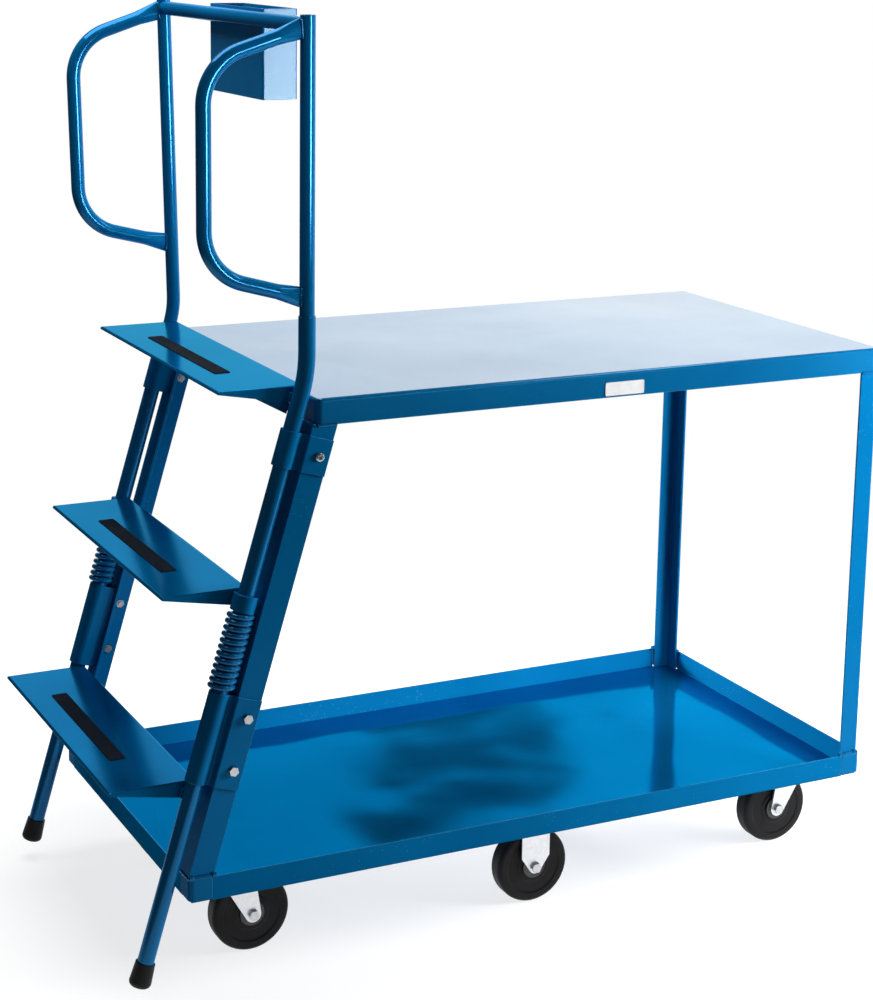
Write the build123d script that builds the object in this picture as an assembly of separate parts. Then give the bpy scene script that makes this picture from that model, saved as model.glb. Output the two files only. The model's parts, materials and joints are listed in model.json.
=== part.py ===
from build123d import *

import os
from math import atan2, cos, degrees, dist, pi, radians, sin, tan

# Ladder cart: two steel shelves on six casters, with a step ladder hung on one end.
# The ladder slides down its two guides against coil springs until its rubber feet stand on the floor.
# Millimetres, Z up. The origin is on the floor, in the middle of the whole cart.
# X runs along the cart, away from the ladder. Near pieces are at -Y and far pieces at +Y.

# Fits and small gaps
weld_gap = 0.05         # between round pieces that are welded to each other
press_gap = 0.02        # radial room of a pressed, screwed or plugged fit
running_gap = 0.05      # radial room of a pin that something turns on
bolt_room = 0.2         # radial room of a bolt in its hole
cut_margin = 20.0       # how far a cutting tool runs past what it cuts

# Bottom shelf: a pan with its lips turned up
shelf_length = 1220.0
shelf_width = 610.0
shelf_lip = 38.0
shelf_sheet = 2.0
shelf_bend = 4.0
shelf_corner = 6.0
caster_height = 154.0   # floor to the shelf's underside

# Angles that close the bottom shelf's notched corners
corner_flange = 36.0
corner_wall = 5.0
corner_round = 8.0      # their outer bend
corner_raise = 4.0      # their lower ends above the shelf's underside
corner_seam = 1.2       # open seam between their side flanges and the shelf's lips

# Top shelf: a pan with its lips turned down
top_height = 902.0
top_lip = 40.0
top_sheet = 2.0
top_bend = 5.0
top_corner = 10.0
top_gap = 6.5           # between the ladder rails and the shelf's end, level

# Legs
rear_flange = 32.0
rear_wall = 3.2
rear_root = 3.0
front_flange = 38.0
front_wall = 4.8
front_root = 4.0
slope = 16.4            # of front legs and ladder, degrees from upright

# Ladder rails, square to their axis
rail_radius = 12.7
rail_wall = 1.5
rail_to_leg = 25.0      # axis to the front legs' front faces
rail_inset = 14.5       # axis inside the legs' outer faces
rail_bend_rise = 19.0   # top tread to the rails' bend
near_rail_bend = 220.0
near_rail_rise = 85.0   # bend to the near rail's end
far_rail_drop = 26.0    # bend down to the far rail's end

# Handrail posts, loops and crossbar
post_wall = 1.5
post_rise = 515.0       # bend to the posts' tops
post_plug = 45.0        # how deep a post sits in its rail
far_post_bend = 150.0
far_post_lean = 13.0    # its top towards the ladder's front, as it is bent a little further
loop_radius = 11.1
loop_wall = 1.5
loop_reach = 157.0      # post axis to the loop's front member
loop_drop = 16.0        # posts' tops to the loop's upper end
loop_fall = 17.5        # top member, degrees
loop_start = 111.0      # bend to the loop's lower end
loop_rise = 15.5        # bottom member, degrees
loop_bend = 80.0
flat_start = 46.0       # from the post's axis, where the flattening starts
flat_height = 31.0
flat_thickness = 9.0
crossbar_radius = 11.1
crossbar_wall = 1.5
crossbar_drop = 15.0    # posts' tops to its axis
crossbar_tip_room = 1.0 # between its fitted tips and the loops' flattened ends

# Open sheet box behind the crossbar
box_depth = 57.0
box_width = 209.0
box_hang = 120.0        # crossbar's axis down to the box's underside
box_rise = 15.0         # crossbar's axis up to the box's rim
box_sheet = 1.2
box_corner = 3.0
box_shift = 7.0         # its middle towards the far side

# Steps
bottom_step_height = 336.0
middle_step_height = 622.0
top_step_rise = 17.0    # above the top shelf
step_front = 127.0      # rail axis to front edge, level
step_rear = 6.0         # rail axis to rear edge, level
step_sheet = 2.0
step_bend = 3.0
step_lip = 4.5          # depth of the front edge
step_skirt = 29.0       # depth of the rear edge
strip_width = 25.4
strip_length = 306.0
strip_thickness = 1.0
strip_corner = 3.0
strip_setback = 53.0    # front edge to the strip's middle
gusset_reach = 75.0
gusset_start = 12.0     # depth of its top edge under the tread
gusset_drop = 42.0      # depth of its lowest point under the tread
gusset_room = 8.0       # rail axis to the gusset's back edge, level
gusset_wall = 3.0

# Guides
guide_wall = 3.0
guide_gap = 0.35        # radial room of a rail in its guide
guide_wrap = 40.0       # degrees from the leg's direction at which the wrap ends
guide_tail = 38.0       # along the leg's outer face
upper_guide_length = 55.0
upper_guide_drop = 34.0 # along the rail, top shelf's lower edge to the guide's middle
lower_guide_length = 139.0
stop_gap = 0.5          # lower guide to bottom step at rest

# Fasteners of the guides
bolt_radius = 4.0
bolt_head_width = 13.0
bolt_head_height = 5.3
bolt_setback = 22.0     # from the legs' front faces
bolt_half_spacing = 40.5
bolt_end = 2.0          # shank past the nut
nut_height = 6.5
screw_head_radius = 7.0
screw_head_height = 4.4
screw_head_round = 3.0
screw_socket_width = 5.0
screw_socket_depth = 2.6

# Springs and their collars
spring_wire = 6.0
spring_room = 0.5       # radial room of a rail in its spring
spring_coils = 12.0
spring_end_gap = 0.7    # between the closed coils at each end
spring_seat = 0.35      # gap at each end seat
wire_sides = 8
collar_radius = 18.5
collar_length = 25.0
collar_drop = 1.5       # its lower end below the middle step's skirt
collar_opening = 0.6    # how far the step's end cuts into its bore

# Rubber feet
foot_height = 38.0
foot_top_radius = 15.0
foot_base_radius = 17.5
foot_sole = 12.0
foot_round = 8.0
foot_clearance = 28.0   # lowest point of a foot above the floor at rest
foot_floor_gap = 0.5    # left at the end of the ladder's travel

# Casters
wheel_radius = 63.5
tyre_width = 32.0
tyre_round = 7.0
tyre_recess_inner = 27.0
tyre_recess_outer = 49.0
tyre_recess_depth = 1.5
tyre_recess_slope = 3.0
hub_radius = 20.0
hub_side_gap = 0.6      # hub to fork
wheel_side_gap = 3.5    # tyre to fork
fork_wall = 4.0
fork_bend = 7.0
fork_inner_bend = 3.0
fork_tip = 13.0
crown_wall = 5.0
crown_half = 29.0
lower_race_radius = 26.0
lower_race_height = 4.0
upper_race_radius = 31.0
upper_race_height = 6.0
race_gap = 0.4
plate_length = 100.0
plate_width = 90.0
plate_wall = 4.0
plate_corner = 6.0
axle_radius = 6.0
axle_head_width = 15.0
axle_head_height = 6.0
axle_nut_height = 8.0
axle_end = 2.0
kingpin_radius = 6.0
kingpin_head_width = 19.0
kingpin_head_height = 5.5
kingpin_gap = 0.3       # head to crown
swivel_lead = 28.0      # kingpin to wheel axle, level
swivel_inset = 129.0    # kingpins from the shelf's sides
front_inset = 115.0     # kingpin from the shelf's front end
rear_inset = 61.0       # kingpin from the shelf's rear end
rigid_half = 25.5
rigid_tip = 11.0
rigid_taper = 18.0      # the straight sides end this far above the axle
rigid_inset = 97.0      # wheels from the shelf's sides
rigid_shift = 17.0      # from the shelf's middle towards the rear

# Worked out from the values above
slope_cos = cos(radians(slope))
slope_sin = sin(radians(slope))
slope_tan = tan(radians(slope))
rim_height = caster_height + shelf_lip
top_underside = top_height - top_lip
top_step_height = top_height + top_step_rise
rail_bend_height = top_step_height + rail_bend_rise
near_rail_top = rail_bend_height + near_rail_rise
far_rail_top = rail_bend_height - far_rail_drop
post_top = rail_bend_height + post_rise
loop_top = post_top - loop_drop
loop_bottom = rail_bend_height + loop_start
crossbar_height = post_top - crossbar_drop
leg_face = shelf_width / 2 - corner_wall
rail_y = leg_face - rail_inset
rail_lead = rail_to_leg / slope_cos
step_reach = step_front + rail_lead - (bottom_step_height - rim_height) * slope_tan
foot_reach = foot_base_radius * slope_cos + rail_lead + rim_height * slope_tan
cart_length = shelf_length + max(step_reach, foot_reach)
shelf_rear = cart_length / 2
shelf_front = shelf_rear - shelf_length
shelf_middle = shelf_rear - shelf_length / 2


def rail_x(height):
    """X of the rail's axis at a height above the floor."""
    return shelf_front - rail_lead + (height - rim_height) * slope_tan


def along_rail(height):
    """Distance up the rail from the floor to a height on its axis."""
    return height / slope_cos


post_radius = rail_radius - rail_wall - press_gap
post_x = rail_x(rail_bend_height)
top_front = rail_x(top_height) + rail_radius / slope_cos + top_gap
top_length = shelf_rear - top_front
top_middle = (shelf_rear + top_front) / 2
top_width = 2 * leg_face
step_half = rail_y - rail_radius - weld_gap
foot_edge = foot_base_radius - foot_round
foot_base = (foot_clearance + foot_edge * slope_sin + foot_round) / slope_cos - foot_round
rail_base = foot_base + foot_sole
travel = (foot_clearance - foot_floor_gap) / slope_cos
lower_guide_base = along_rail(bottom_step_height + stop_gap) + step_rear * slope_tan
lower_guide_end = lower_guide_base + lower_guide_length
lower_guide_middle = lower_guide_base + lower_guide_length / 2
upper_guide_middle = along_rail(top_underside) - upper_guide_drop
upper_guide_base = upper_guide_middle - upper_guide_length / 2
collar_base = along_rail(middle_step_height - step_skirt) - collar_drop
bolt_place = rail_to_leg + bolt_setback
axle_height = wheel_radius
swivel_y = shelf_width / 2 - swivel_inset
rigid_y = shelf_width / 2 - rigid_inset
fork_inner = tyre_width / 2 + wheel_side_gap
fork_outer = fork_inner + fork_wall
plate_base = caster_height - plate_wall
upper_race_base = plate_base - upper_race_height
lower_race_top = upper_race_base - race_gap
crown_top = lower_race_top - lower_race_height
crown_base = crown_top - crown_wall

rail_frame = Plane(
    origin=(rail_x(0), rail_y, 0),
    x_dir=(slope_cos, 0, -slope_sin),
    z_dir=(slope_sin, 0, slope_cos),
)

low = (Align.CENTER, Align.CENTER, Align.MIN)
first = (Align.MIN, Align.MIN)
nodes = {}


def on_far_rail(shape):
    """Places a shape drawn at a rail: X towards the leg, Y outwards, Z up along the rail from the floor."""
    return rail_frame.location * shape


def near(shape):
    """The same shape on the near side."""
    return mirror(shape, about=Plane.XZ)


def both_sides(name, shape):
    """Keeps a far-side shape and its near twin as two nodes."""
    nodes[name + "_far"] = shape
    nodes[name + "_near"] = near(shape)


def tray(length, width, depth, sheet, bend, corner):
    """Pressed pan, open at the top, with the underside of its floor at zero."""
    outer = extrude(RectangleRounded(length, width, corner), depth)
    outer = fillet(outer.edges().group_by(Axis.Z)[0], bend)
    hollow = extrude(RectangleRounded(length - 2 * sheet, width - 2 * sheet, corner - sheet), depth)
    hollow = fillet(hollow.edges().group_by(Axis.Z)[0], bend - sheet)
    return outer - Pos(0, 0, sheet) * hollow


def angle_section(flange, wall):
    """L section with its outer corner at the origin and its flanges along +X and +Y."""
    return Rectangle(flange, wall, align=first) + Rectangle(wall, flange, align=first)


def rolled_angle(flange, wall, root, length):
    """Bar of rolled steel angle with a rounded root, standing on its end."""
    bar = extrude(angle_section(flange, wall), length)
    root_edge = bar.edges().filter_by(Axis.Z).sort_by_distance((wall, wall, length / 2))[0]
    return fillet(root_edge, root)


def ring_part(middle, inner, outer, start, sweep_angle):
    """Part of a flat ring, from a start angle over a sweep in degrees."""
    outer_arc = CenterArc(middle, outer, start, sweep_angle)
    inner_arc = CenterArc(middle, inner, start, sweep_angle)
    ends = [Line(outer_arc @ 0, inner_arc @ 0), Line(outer_arc @ 1, inner_arc @ 1)]
    return make_face([outer_arc, inner_arc, *ends])


def pipe(path, radius, wall):
    """Round tube along a path."""
    start = Plane(origin=path @ 0, z_dir=path % 0)
    return sweep(start * (Circle(radius) - Circle(radius - wall)), path=path)


def hexagon(width):
    """Hexagon of a width across its flats."""
    return RegularPolygon(width / 2, 6, major_radius=False)


# Bottom shelf with its corner angles: it is notched for them and, at the rear, for the legs inside them
corner_section = angle_section(corner_flange, corner_wall)
corner_place = Pos(-shelf_length / 2, -shelf_width / 2, 0)
notch_section = corner_section + Rectangle(corner_flange + corner_seam, corner_wall, align=first)
notch_depth = shelf_lip + 2 * cut_margin
front_notch = extrude(notch_section, notch_depth)
leg_notch = rolled_angle(rear_flange, rear_wall, rear_root, notch_depth)
rear_notch = front_notch + Pos(corner_wall, corner_wall, 0) * leg_notch
front_notch = corner_place * Pos(0, 0, -cut_margin) * front_notch
rear_notch = corner_place * Pos(0, 0, -cut_margin) * rear_notch
corner_piece = extrude(corner_section, shelf_lip - corner_raise)
corner_edge = corner_piece.edges().filter_by(Axis.Z).sort_by_distance((0, 0, shelf_lip / 2))[0]
corner_piece = corner_place * Pos(0, 0, corner_raise) * fillet(corner_edge, corner_round)


def at_four_corners(front_shape, rear_shape):
    """Both front corners' shapes, then both rear ones, each drawn at the front near corner."""
    front_pair = [front_shape, near(front_shape)]
    rear_pair = [rear_shape, near(rear_shape)]
    return front_pair + [mirror(one, about=Plane.YZ) for one in rear_pair]


shelf_place = Pos(shelf_middle, 0, caster_height)
pan = tray(shelf_length, shelf_width, shelf_lip, shelf_sheet, shelf_bend, shelf_corner)
for notch in at_four_corners(front_notch, rear_notch):
    pan = pan - notch
nodes["bottom_shelf"] = shelf_place * pan
corner_pieces = at_four_corners(corner_piece, corner_piece)
nodes["shelf_corner_angles"] = [shelf_place * piece for piece in corner_pieces]

# Top shelf
cover = tray(top_length, top_width, top_lip, top_sheet, top_bend, top_corner)
nodes["top_shelf"] = Pos(top_middle, 0, top_height) * Rot(180, 0, 0) * cover

# Rear legs, inside the corner angles
rear_leg = rolled_angle(rear_flange, rear_wall, rear_root, top_underside - caster_height)
rear_corner = Pos(shelf_rear - corner_wall, leg_face, caster_height)
both_sides("rear_leg", rear_corner * Rot(0, 0, 180) * rear_leg)

# Front legs, parallel to the rails and cut level at both ends
leg_stock = rolled_angle(front_flange, front_wall, front_root, along_rail(top_height))
leg_stock = Pos(rail_to_leg, rail_inset, 0) * mirror(leg_stock, about=Plane.XZ)
lower_bolts = [lower_guide_middle - bolt_half_spacing, lower_guide_middle + bolt_half_spacing]


def bolt_hole(place):
    """Cutting tool for a guide bolt at a place along the rail."""
    drill = Cylinder(bolt_radius + bolt_room, 2 * (front_flange + cut_margin))
    return Pos(bolt_place, rail_inset, place) * Rot(90, 0, 0) * drill


for place in [*lower_bolts, upper_guide_middle]:
    leg_stock = leg_stock - bolt_hole(place)
leg_slab = Box(2 * cart_length, 2 * shelf_width, top_underside - rim_height, align=low)
both_sides("front_leg", on_far_rail(leg_stock) & Pos(0, 0, rim_height) * leg_slab)

# Guides: a strap round the rail, a reverse bend, then a tail round the leg's corner
wrap_inner = rail_radius + guide_gap
wrap_outer = wrap_inner + guide_wall
wrap_middle = wrap_inner + guide_wall / 2
wrap_cos = cos(radians(guide_wrap))
wrap_sin = sin(radians(guide_wrap))
crook_radius = (rail_to_leg - guide_wall / 2 - wrap_middle * wrap_cos) / (1 + wrap_cos)
crook_x = (wrap_middle + crook_radius) * wrap_cos
crook_y = (wrap_middle + crook_radius) * wrap_sin
crook_inner = crook_radius - guide_wall / 2
crook_outer = crook_radius + guide_wall / 2
guide_section = (
    ring_part((0, 0), wrap_inner, wrap_outer, guide_wrap, 270 - guide_wrap)
    + Pos(0, -wrap_outer) * Rectangle(rail_to_leg, guide_wall, align=first)
    + ring_part((crook_x, crook_y), crook_inner, crook_outer, 180 + guide_wrap, 180 - guide_wrap)
    + Pos(rail_to_leg - guide_wall, crook_y) * Rectangle(guide_wall, rail_inset - crook_y, align=first)
    + Pos(rail_to_leg, rail_inset) * Rot(0, 0, 90) * make_face(
        [
            CenterArc((0, 0), guide_wall, 0, 90),
            Line((0, 0), (guide_wall, 0)),
            Line((0, 0), (0, guide_wall)),
        ]
    )
    + Pos(rail_to_leg, rail_inset) * Rectangle(guide_tail, guide_wall, align=first)
)
upper_guide = Pos(0, 0, upper_guide_base) * extrude(guide_section, upper_guide_length)
lower_guide = Pos(0, 0, lower_guide_base) * extrude(guide_section, lower_guide_length)
for place in lower_bolts:
    lower_guide = lower_guide - bolt_hole(place)
both_sides("upper_guide", on_far_rail(upper_guide - bolt_hole(upper_guide_middle)))
both_sides("lower_guide", on_far_rail(lower_guide))

# Bolts, screws and nuts of the guides, drawn along Z with the head's seat at zero
grip = guide_wall + front_wall
shank_length = grip + nut_height + bolt_end
shank = Pos(0, 0, -shank_length) * Cylinder(bolt_radius, shank_length, align=low)
hex_bolt = shank + extrude(hexagon(bolt_head_width), bolt_head_height)
dome = Cylinder(screw_head_radius, screw_head_height, align=low)
dome = fillet(dome.edges().group_by(Axis.Z)[-1], screw_head_round)
socket_floor = screw_head_height - screw_socket_depth
socket = Pos(0, 0, socket_floor) * extrude(hexagon(screw_socket_width), cut_margin)
screw = shank + dome - socket
nut = extrude(hexagon(bolt_head_width), -nut_height) - Cylinder(bolt_radius + press_gap, 2 * cut_margin)
nut = Pos(0, 0, -grip) * nut


def at_bolt(shape, place):
    """Places a fastener on the far guide's tail."""
    return on_far_rail(Pos(bolt_place, rail_inset + guide_wall, place) * Rot(-90, 0, 0) * shape)


far_bolts = [at_bolt(hex_bolt, place) for place in lower_bolts]
far_screw = at_bolt(screw, upper_guide_middle)
far_nuts = [at_bolt(nut, place) for place in [*lower_bolts, upper_guide_middle]]
nodes["guide_bolts"] = far_bolts + [near(one) for one in far_bolts]
nodes["guide_screws"] = [far_screw, near(far_screw)]
nodes["guide_nuts"] = far_nuts + [near(one) for one in far_nuts]

# Springs: one wire each, with a closed coil at both ends
coil_radius = rail_radius + spring_room + spring_wire / 2
spring_low = lower_guide_end + spring_seat + spring_wire / 2
spring_high = collar_base - spring_seat - spring_wire / 2
spring_rise = spring_high - spring_low
closed_turns = 0.5
ramp_turns = 0.5
closed_pitch = spring_wire + spring_end_gap
open_turns = spring_coils - 2 * closed_turns - 2 * ramp_turns
open_rise = spring_rise - (2 * closed_turns + ramp_turns) * closed_pitch
open_pitch = open_rise / (open_turns + ramp_turns)


def coil_pitch(turn):
    """Rise for each turn, at a number of turns from the lower end."""
    from_end = min(turn, spring_coils - turn) - closed_turns
    share = min(max(from_end / ramp_turns, 0), 1)
    return closed_pitch + share * (open_pitch - closed_pitch)


def coil_rise(turn):
    """Height at a number of turns from the lower end."""
    if turn > spring_coils / 2:
        return spring_rise - coil_rise(spring_coils - turn)
    ramp = min(max(turn - closed_turns, 0), ramp_turns)
    opened = max(turn - closed_turns - ramp_turns, 0)
    gain = (open_pitch - closed_pitch) * (ramp**2 / (2 * ramp_turns) + opened)
    return closed_pitch * turn + gain


def coil_point(turn):
    """Point on the spring's centre line."""
    angle = 2 * pi * turn
    return Vector(coil_radius * cos(angle), coil_radius * sin(angle), coil_rise(turn))


def coil_direction(turn):
    """Direction of the wire at a point."""
    angle = 2 * pi * turn
    around = 2 * pi * coil_radius
    return Vector(-around * sin(angle), around * cos(angle), coil_pitch(turn)).normalized()


def biarc(start, start_way, end, end_way):
    """Two arcs that meet smoothly, from one point and direction to another."""
    span = end - start
    ways = start_way + end_way
    bend = 2 * (1 - start_way.dot(end_way))
    reach = span.dot(ways)
    handle = (-reach + (reach**2 + bend * span.dot(span)) ** 0.5) / bend
    first_knee = start + start_way * handle
    second_knee = end - end_way * handle
    meeting = (first_knee + second_knee) * 0.5
    first_arc = TangentArc(start, meeting, tangent=start_way)
    second_arc = TangentArc(meeting, end, tangent=second_knee - first_knee)
    return [first_arc, second_arc]


half_turns = round(2 * spring_coils)
turn_marks = [spring_coils * step / half_turns for step in range(half_turns + 1)]
wire_edges = [Line(coil_point(0) - coil_direction(0) * spring_wire, coil_point(0))]
for lower_mark, upper_mark in zip(turn_marks, turn_marks[1:]):
    wire_edges += biarc(
        coil_point(lower_mark),
        coil_direction(lower_mark),
        coil_point(upper_mark),
        coil_direction(upper_mark),
    )
last_point = coil_point(spring_coils)
wire_edges.append(Line(last_point, last_point + coil_direction(spring_coils) * spring_wire))
wire_path = Wire(wire_edges)
wire_start = Plane(origin=wire_path @ 0, z_dir=wire_path % 0)
wire_section = wire_start * RegularPolygon(spring_wire / 2, wire_sides)
spring = sweep(wire_section, path=wire_path, clean=False)
both_sides("spring", on_far_rail(Pos(0, 0, spring_low) * spring))

points_per_turn = 24
sample_count = round(points_per_turn * spring_coils)
samples = [tuple(wire_path @ (step / sample_count)) for step in range(sample_count + 1)]
half_turn_points = points_per_turn // 2
least_gap = min(
    dist(samples[i], samples[j])
    for i in range(len(samples))
    for j in range(i + half_turn_points, len(samples))
) - spring_wire
print("spring: least gap to itself", round(least_gap, 2), "pitch", round(open_pitch, 2))

# Collars above the springs, open where the step's end plate passes
collar = Pos(0, 0, collar_base) * Cylinder(collar_radius, collar_length, align=low)
collar = collar - Cylinder(rail_radius + weld_gap, 2 * along_rail(top_height))
collar_cut = Box(4 * collar_radius, 2 * collar_radius, 2 * along_rail(top_height))
cut_place = -(rail_radius - collar_opening) - collar_radius
collar = on_far_rail(collar - Pos(0, cut_place, 0) * collar_cut)
nodes["spring_collars"] = [collar, near(collar)]

# Rails
rail_low = (rail_x(rail_base * slope_cos), rail_y, rail_base * slope_cos)
rail_knee = (post_x, rail_y, rail_bend_height)
far_rail_end = (rail_x(far_rail_top), rail_y, far_rail_top)
near_rail_end = (post_x, rail_y, near_rail_top)
nodes["rail_far"] = pipe(Line(rail_low, far_rail_end), rail_radius, rail_wall)
near_rail_path = FilletPolyline(rail_low, rail_knee, near_rail_end, radius=near_rail_bend)
nodes["rail_near"] = near(pipe(near_rail_path, rail_radius, rail_wall))

# Rubber feet
foot = Cone(foot_base_radius, foot_top_radius, foot_height, align=low)
foot = fillet(foot.edges().group_by(Axis.Z)[0], foot_round)
foot = foot - Pos(0, 0, foot_sole) * Cylinder(rail_radius + press_gap, foot_height, align=low)
both_sides("foot", on_far_rail(Pos(0, 0, foot_base) * foot))

# Posts: the near one upright, the far one leaning a little
post_head = (post_x, rail_y, post_top)
far_post_head = (post_x - far_post_lean, rail_y, post_top)
near_post_foot = (post_x, rail_y, near_rail_top - post_plug)
far_post_height = far_rail_top - post_plug * slope_cos
far_post_foot = (rail_x(far_post_height), rail_y, far_post_height)
nodes["post_near"] = near(pipe(Line(near_post_foot, post_head), post_radius, post_wall))
far_post_path = FilletPolyline(far_post_foot, rail_knee, far_post_head, radius=far_post_bend)
nodes["post_far"] = pipe(far_post_path, post_radius, post_wall)

# Handrail loops: round tube whose ends are flattened and fitted to the post
post_space = Pos(post_x, rail_y, 0) * Cylinder(post_radius + weld_gap, 2 * (post_top + cut_margin))


def leaning(shape):
    """Turns a piece drawn on an upright post so that it follows the far one."""
    lean = degrees(atan2(far_post_lean, post_top - rail_bend_height))
    return Pos(*rail_knee) * Rot(0, -lean, 0) * Pos(-post_x, -rail_y, -rail_bend_height) * shape


def loop_point(reach, start_height, angle):
    """Point on a loop's member, a level distance in front of the post."""
    return Vector(post_x - reach, rail_y, start_height + reach * tan(radians(angle)))


def flattened_end(start_height, angle):
    """End of a member, from round tube to a flattened tip inside the post's outline."""
    round_place = loop_point(flat_start, start_height, angle)
    flat_place = loop_point(post_radius / 2, start_height, angle)
    way = flat_place - round_place
    round_plane = Plane(origin=round_place, x_dir=(0, 1, 0), z_dir=way)
    flat_plane = Plane(origin=flat_place, x_dir=(0, 1, 0), z_dir=way)
    half_thickness = flat_thickness / 2
    half_height = flat_height / 2
    skin = loft([round_plane * Circle(loop_radius), flat_plane * Ellipse(half_thickness, half_height)])
    hollow = loft(
        [
            round_plane * Circle(loop_radius - loop_wall),
            flat_plane * Ellipse(half_thickness - loop_wall, half_height - loop_wall),
        ]
    )
    return skin - hollow


loop_path = FilletPolyline(
    loop_point(flat_start, loop_top, -loop_fall),
    loop_point(loop_reach, loop_top, -loop_fall),
    loop_point(loop_reach, loop_bottom, loop_rise),
    loop_point(flat_start, loop_bottom, loop_rise),
    radius=loop_bend,
)
loop = pipe(loop_path, loop_radius, loop_wall)
loop = loop + flattened_end(loop_top, -loop_fall) + flattened_end(loop_bottom, loop_rise)
loop = loop - post_space
nodes["loop_near"] = near(loop)
nodes["loop_far"] = leaning(loop)

# Crossbar between the posts, and the box behind it
bar_half = rail_y - flat_thickness / 2 - crossbar_tip_room
bar_lean = far_post_lean * (crossbar_height - rail_bend_height) / (post_top - rail_bend_height)
bar_turn = degrees(atan2(bar_lean, 2 * rail_y))
bar_place = Pos(post_x - bar_lean / 2, 0, crossbar_height) * Rot(0, 0, bar_turn)
crossbar = bar_place * pipe(Line((0, -bar_half, 0), (0, bar_half, 0)), crossbar_radius, crossbar_wall)
nodes["crossbar"] = crossbar - leaning(post_space) - near(post_space)
box_height = box_hang + box_rise
box_front = crossbar_radius + weld_gap
box_skin = extrude(RectangleRounded(box_depth, box_width, box_corner), box_height)
box_hollow = extrude(
    RectangleRounded(box_depth - 2 * box_sheet, box_width - 2 * box_sheet, box_corner - box_sheet),
    box_height,
)
open_box = box_skin - Pos(0, 0, box_sheet) * box_hollow
nodes["document_box"] = bar_place * Pos(box_front + box_depth / 2, box_shift, -box_hang) * open_box


# Steps: pressed treads, deeper at the rear, open underneath
def step_block(inset, open_depth):
    """Solid outline of a tread, drawn in by an inset, with its top edges rounded."""
    front = inset - step_front
    rear = step_rear - inset
    outline = Polygon(
        (front, -inset),
        (rear, -inset),
        (rear, -step_skirt - open_depth),
        (front, -step_lip - open_depth),
        align=None,
    )
    block = extrude(Plane.XZ * outline, step_half - inset, both=True)
    return fillet(block.faces().sort_by(Axis.Z)[-1].edges(), step_bend - inset)


tread = step_block(0, 0) - step_block(step_sheet, cut_margin)
strip = extrude(RectangleRounded(strip_width, strip_length, strip_corner), strip_thickness)
step_heights = {
    "step_bottom": bottom_step_height,
    "step_middle": middle_step_height,
    "step_top": top_step_height,
}
strips = []
for step_name, height in step_heights.items():
    nodes[step_name] = Pos(rail_x(height), 0, height) * tread
    strips.append(Pos(rail_x(height) - step_front + strip_setback, 0, height) * strip)
nodes["tread_strips"] = strips

gusset_outline = Polygon(
    (-gusset_reach, -gusset_start),
    (-gusset_start * slope_tan - gusset_room, -gusset_start),
    (-gusset_drop * slope_tan - gusset_room, -gusset_drop),
    align=None,
)
gusset = extrude(Plane.XZ * gusset_outline, gusset_wall, dir=(0, 1, 0))
gusset_y = step_half - step_sheet - gusset_wall
gusset = Pos(rail_x(top_step_height), gusset_y, top_step_height) * gusset
nodes["step_gussets"] = [gusset, near(gusset)]

# Casters, drawn with the kingpin or the rigid caster's middle at zero
fork_arch = Rectangle(2 * fork_outer, 2 * crown_top)
fork_arch = fillet(fork_arch.vertices(), fork_bend)
fork_space = Rectangle(2 * fork_inner, 2 * crown_base)
fork_space = fillet(fork_space.vertices(), fork_inner_bend)
fork_stock = extrude(Plane.YZ * (fork_arch - fork_space), cart_length, both=True)
axle_bore = Rot(90, 0, 0) * Cylinder(axle_radius + press_gap, 4 * fork_outer)
side_depth = 2 * fork_outer

crown_outline = Pos(0, (crown_top + crown_base) / 2) * Rectangle(2 * crown_half, crown_top - crown_base)
tip_outline = Pos(swivel_lead, axle_height) * Circle(fork_tip)
fork_outline = make_hull([*crown_outline.edges(), *tip_outline.edges()])
fork = fork_stock & extrude(Plane.XZ * fork_outline, side_depth, both=True)
fork = fork + Pos(0, 0, crown_top) * Cylinder(lower_race_radius, lower_race_height, align=low)
fork = fork - Pos(0, 0, crown_base) * Cylinder(kingpin_radius + running_gap, 2 * cut_margin)
fork = fork - Pos(swivel_lead, 0, axle_height) * axle_bore

plate = extrude(RectangleRounded(plate_length, plate_width, plate_corner), plate_wall)
plate = Pos(0, 0, plate_base) * plate
upper_race = Pos(0, 0, upper_race_base) * Cylinder(upper_race_radius, upper_race_height, align=low)
pin_bore = Pos(0, 0, crown_base) * Cylinder(kingpin_radius + press_gap, 2 * caster_height, align=low)
swivel_plate = plate + upper_race - pin_bore

kingpin_low = crown_base - kingpin_gap
kingpin = Pos(0, 0, kingpin_low) * Cylinder(kingpin_radius, caster_height - kingpin_low, align=low)
kingpin = kingpin + Pos(0, 0, kingpin_low) * extrude(hexagon(kingpin_head_width), -kingpin_head_height)

rigid_outline = Pos(0, axle_height + rigid_taper) * Rectangle(
    2 * rigid_half, plate_base - axle_height - rigid_taper, align=(Align.CENTER, Align.MIN)
)
rigid_tip_outline = Pos(0, axle_height) * Circle(rigid_tip)
rigid_side = make_hull([*rigid_outline.edges(), *rigid_tip_outline.edges()])
rigid_cheek = extrude(Plane.XZ * rigid_side, fork_outer, both=True)
rigid_gap = Box(4 * rigid_half, 2 * fork_inner, 2 * plate_base)
rigid_fork = plate + (rigid_cheek - rigid_gap) - Pos(0, 0, axle_height) * axle_bore

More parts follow.
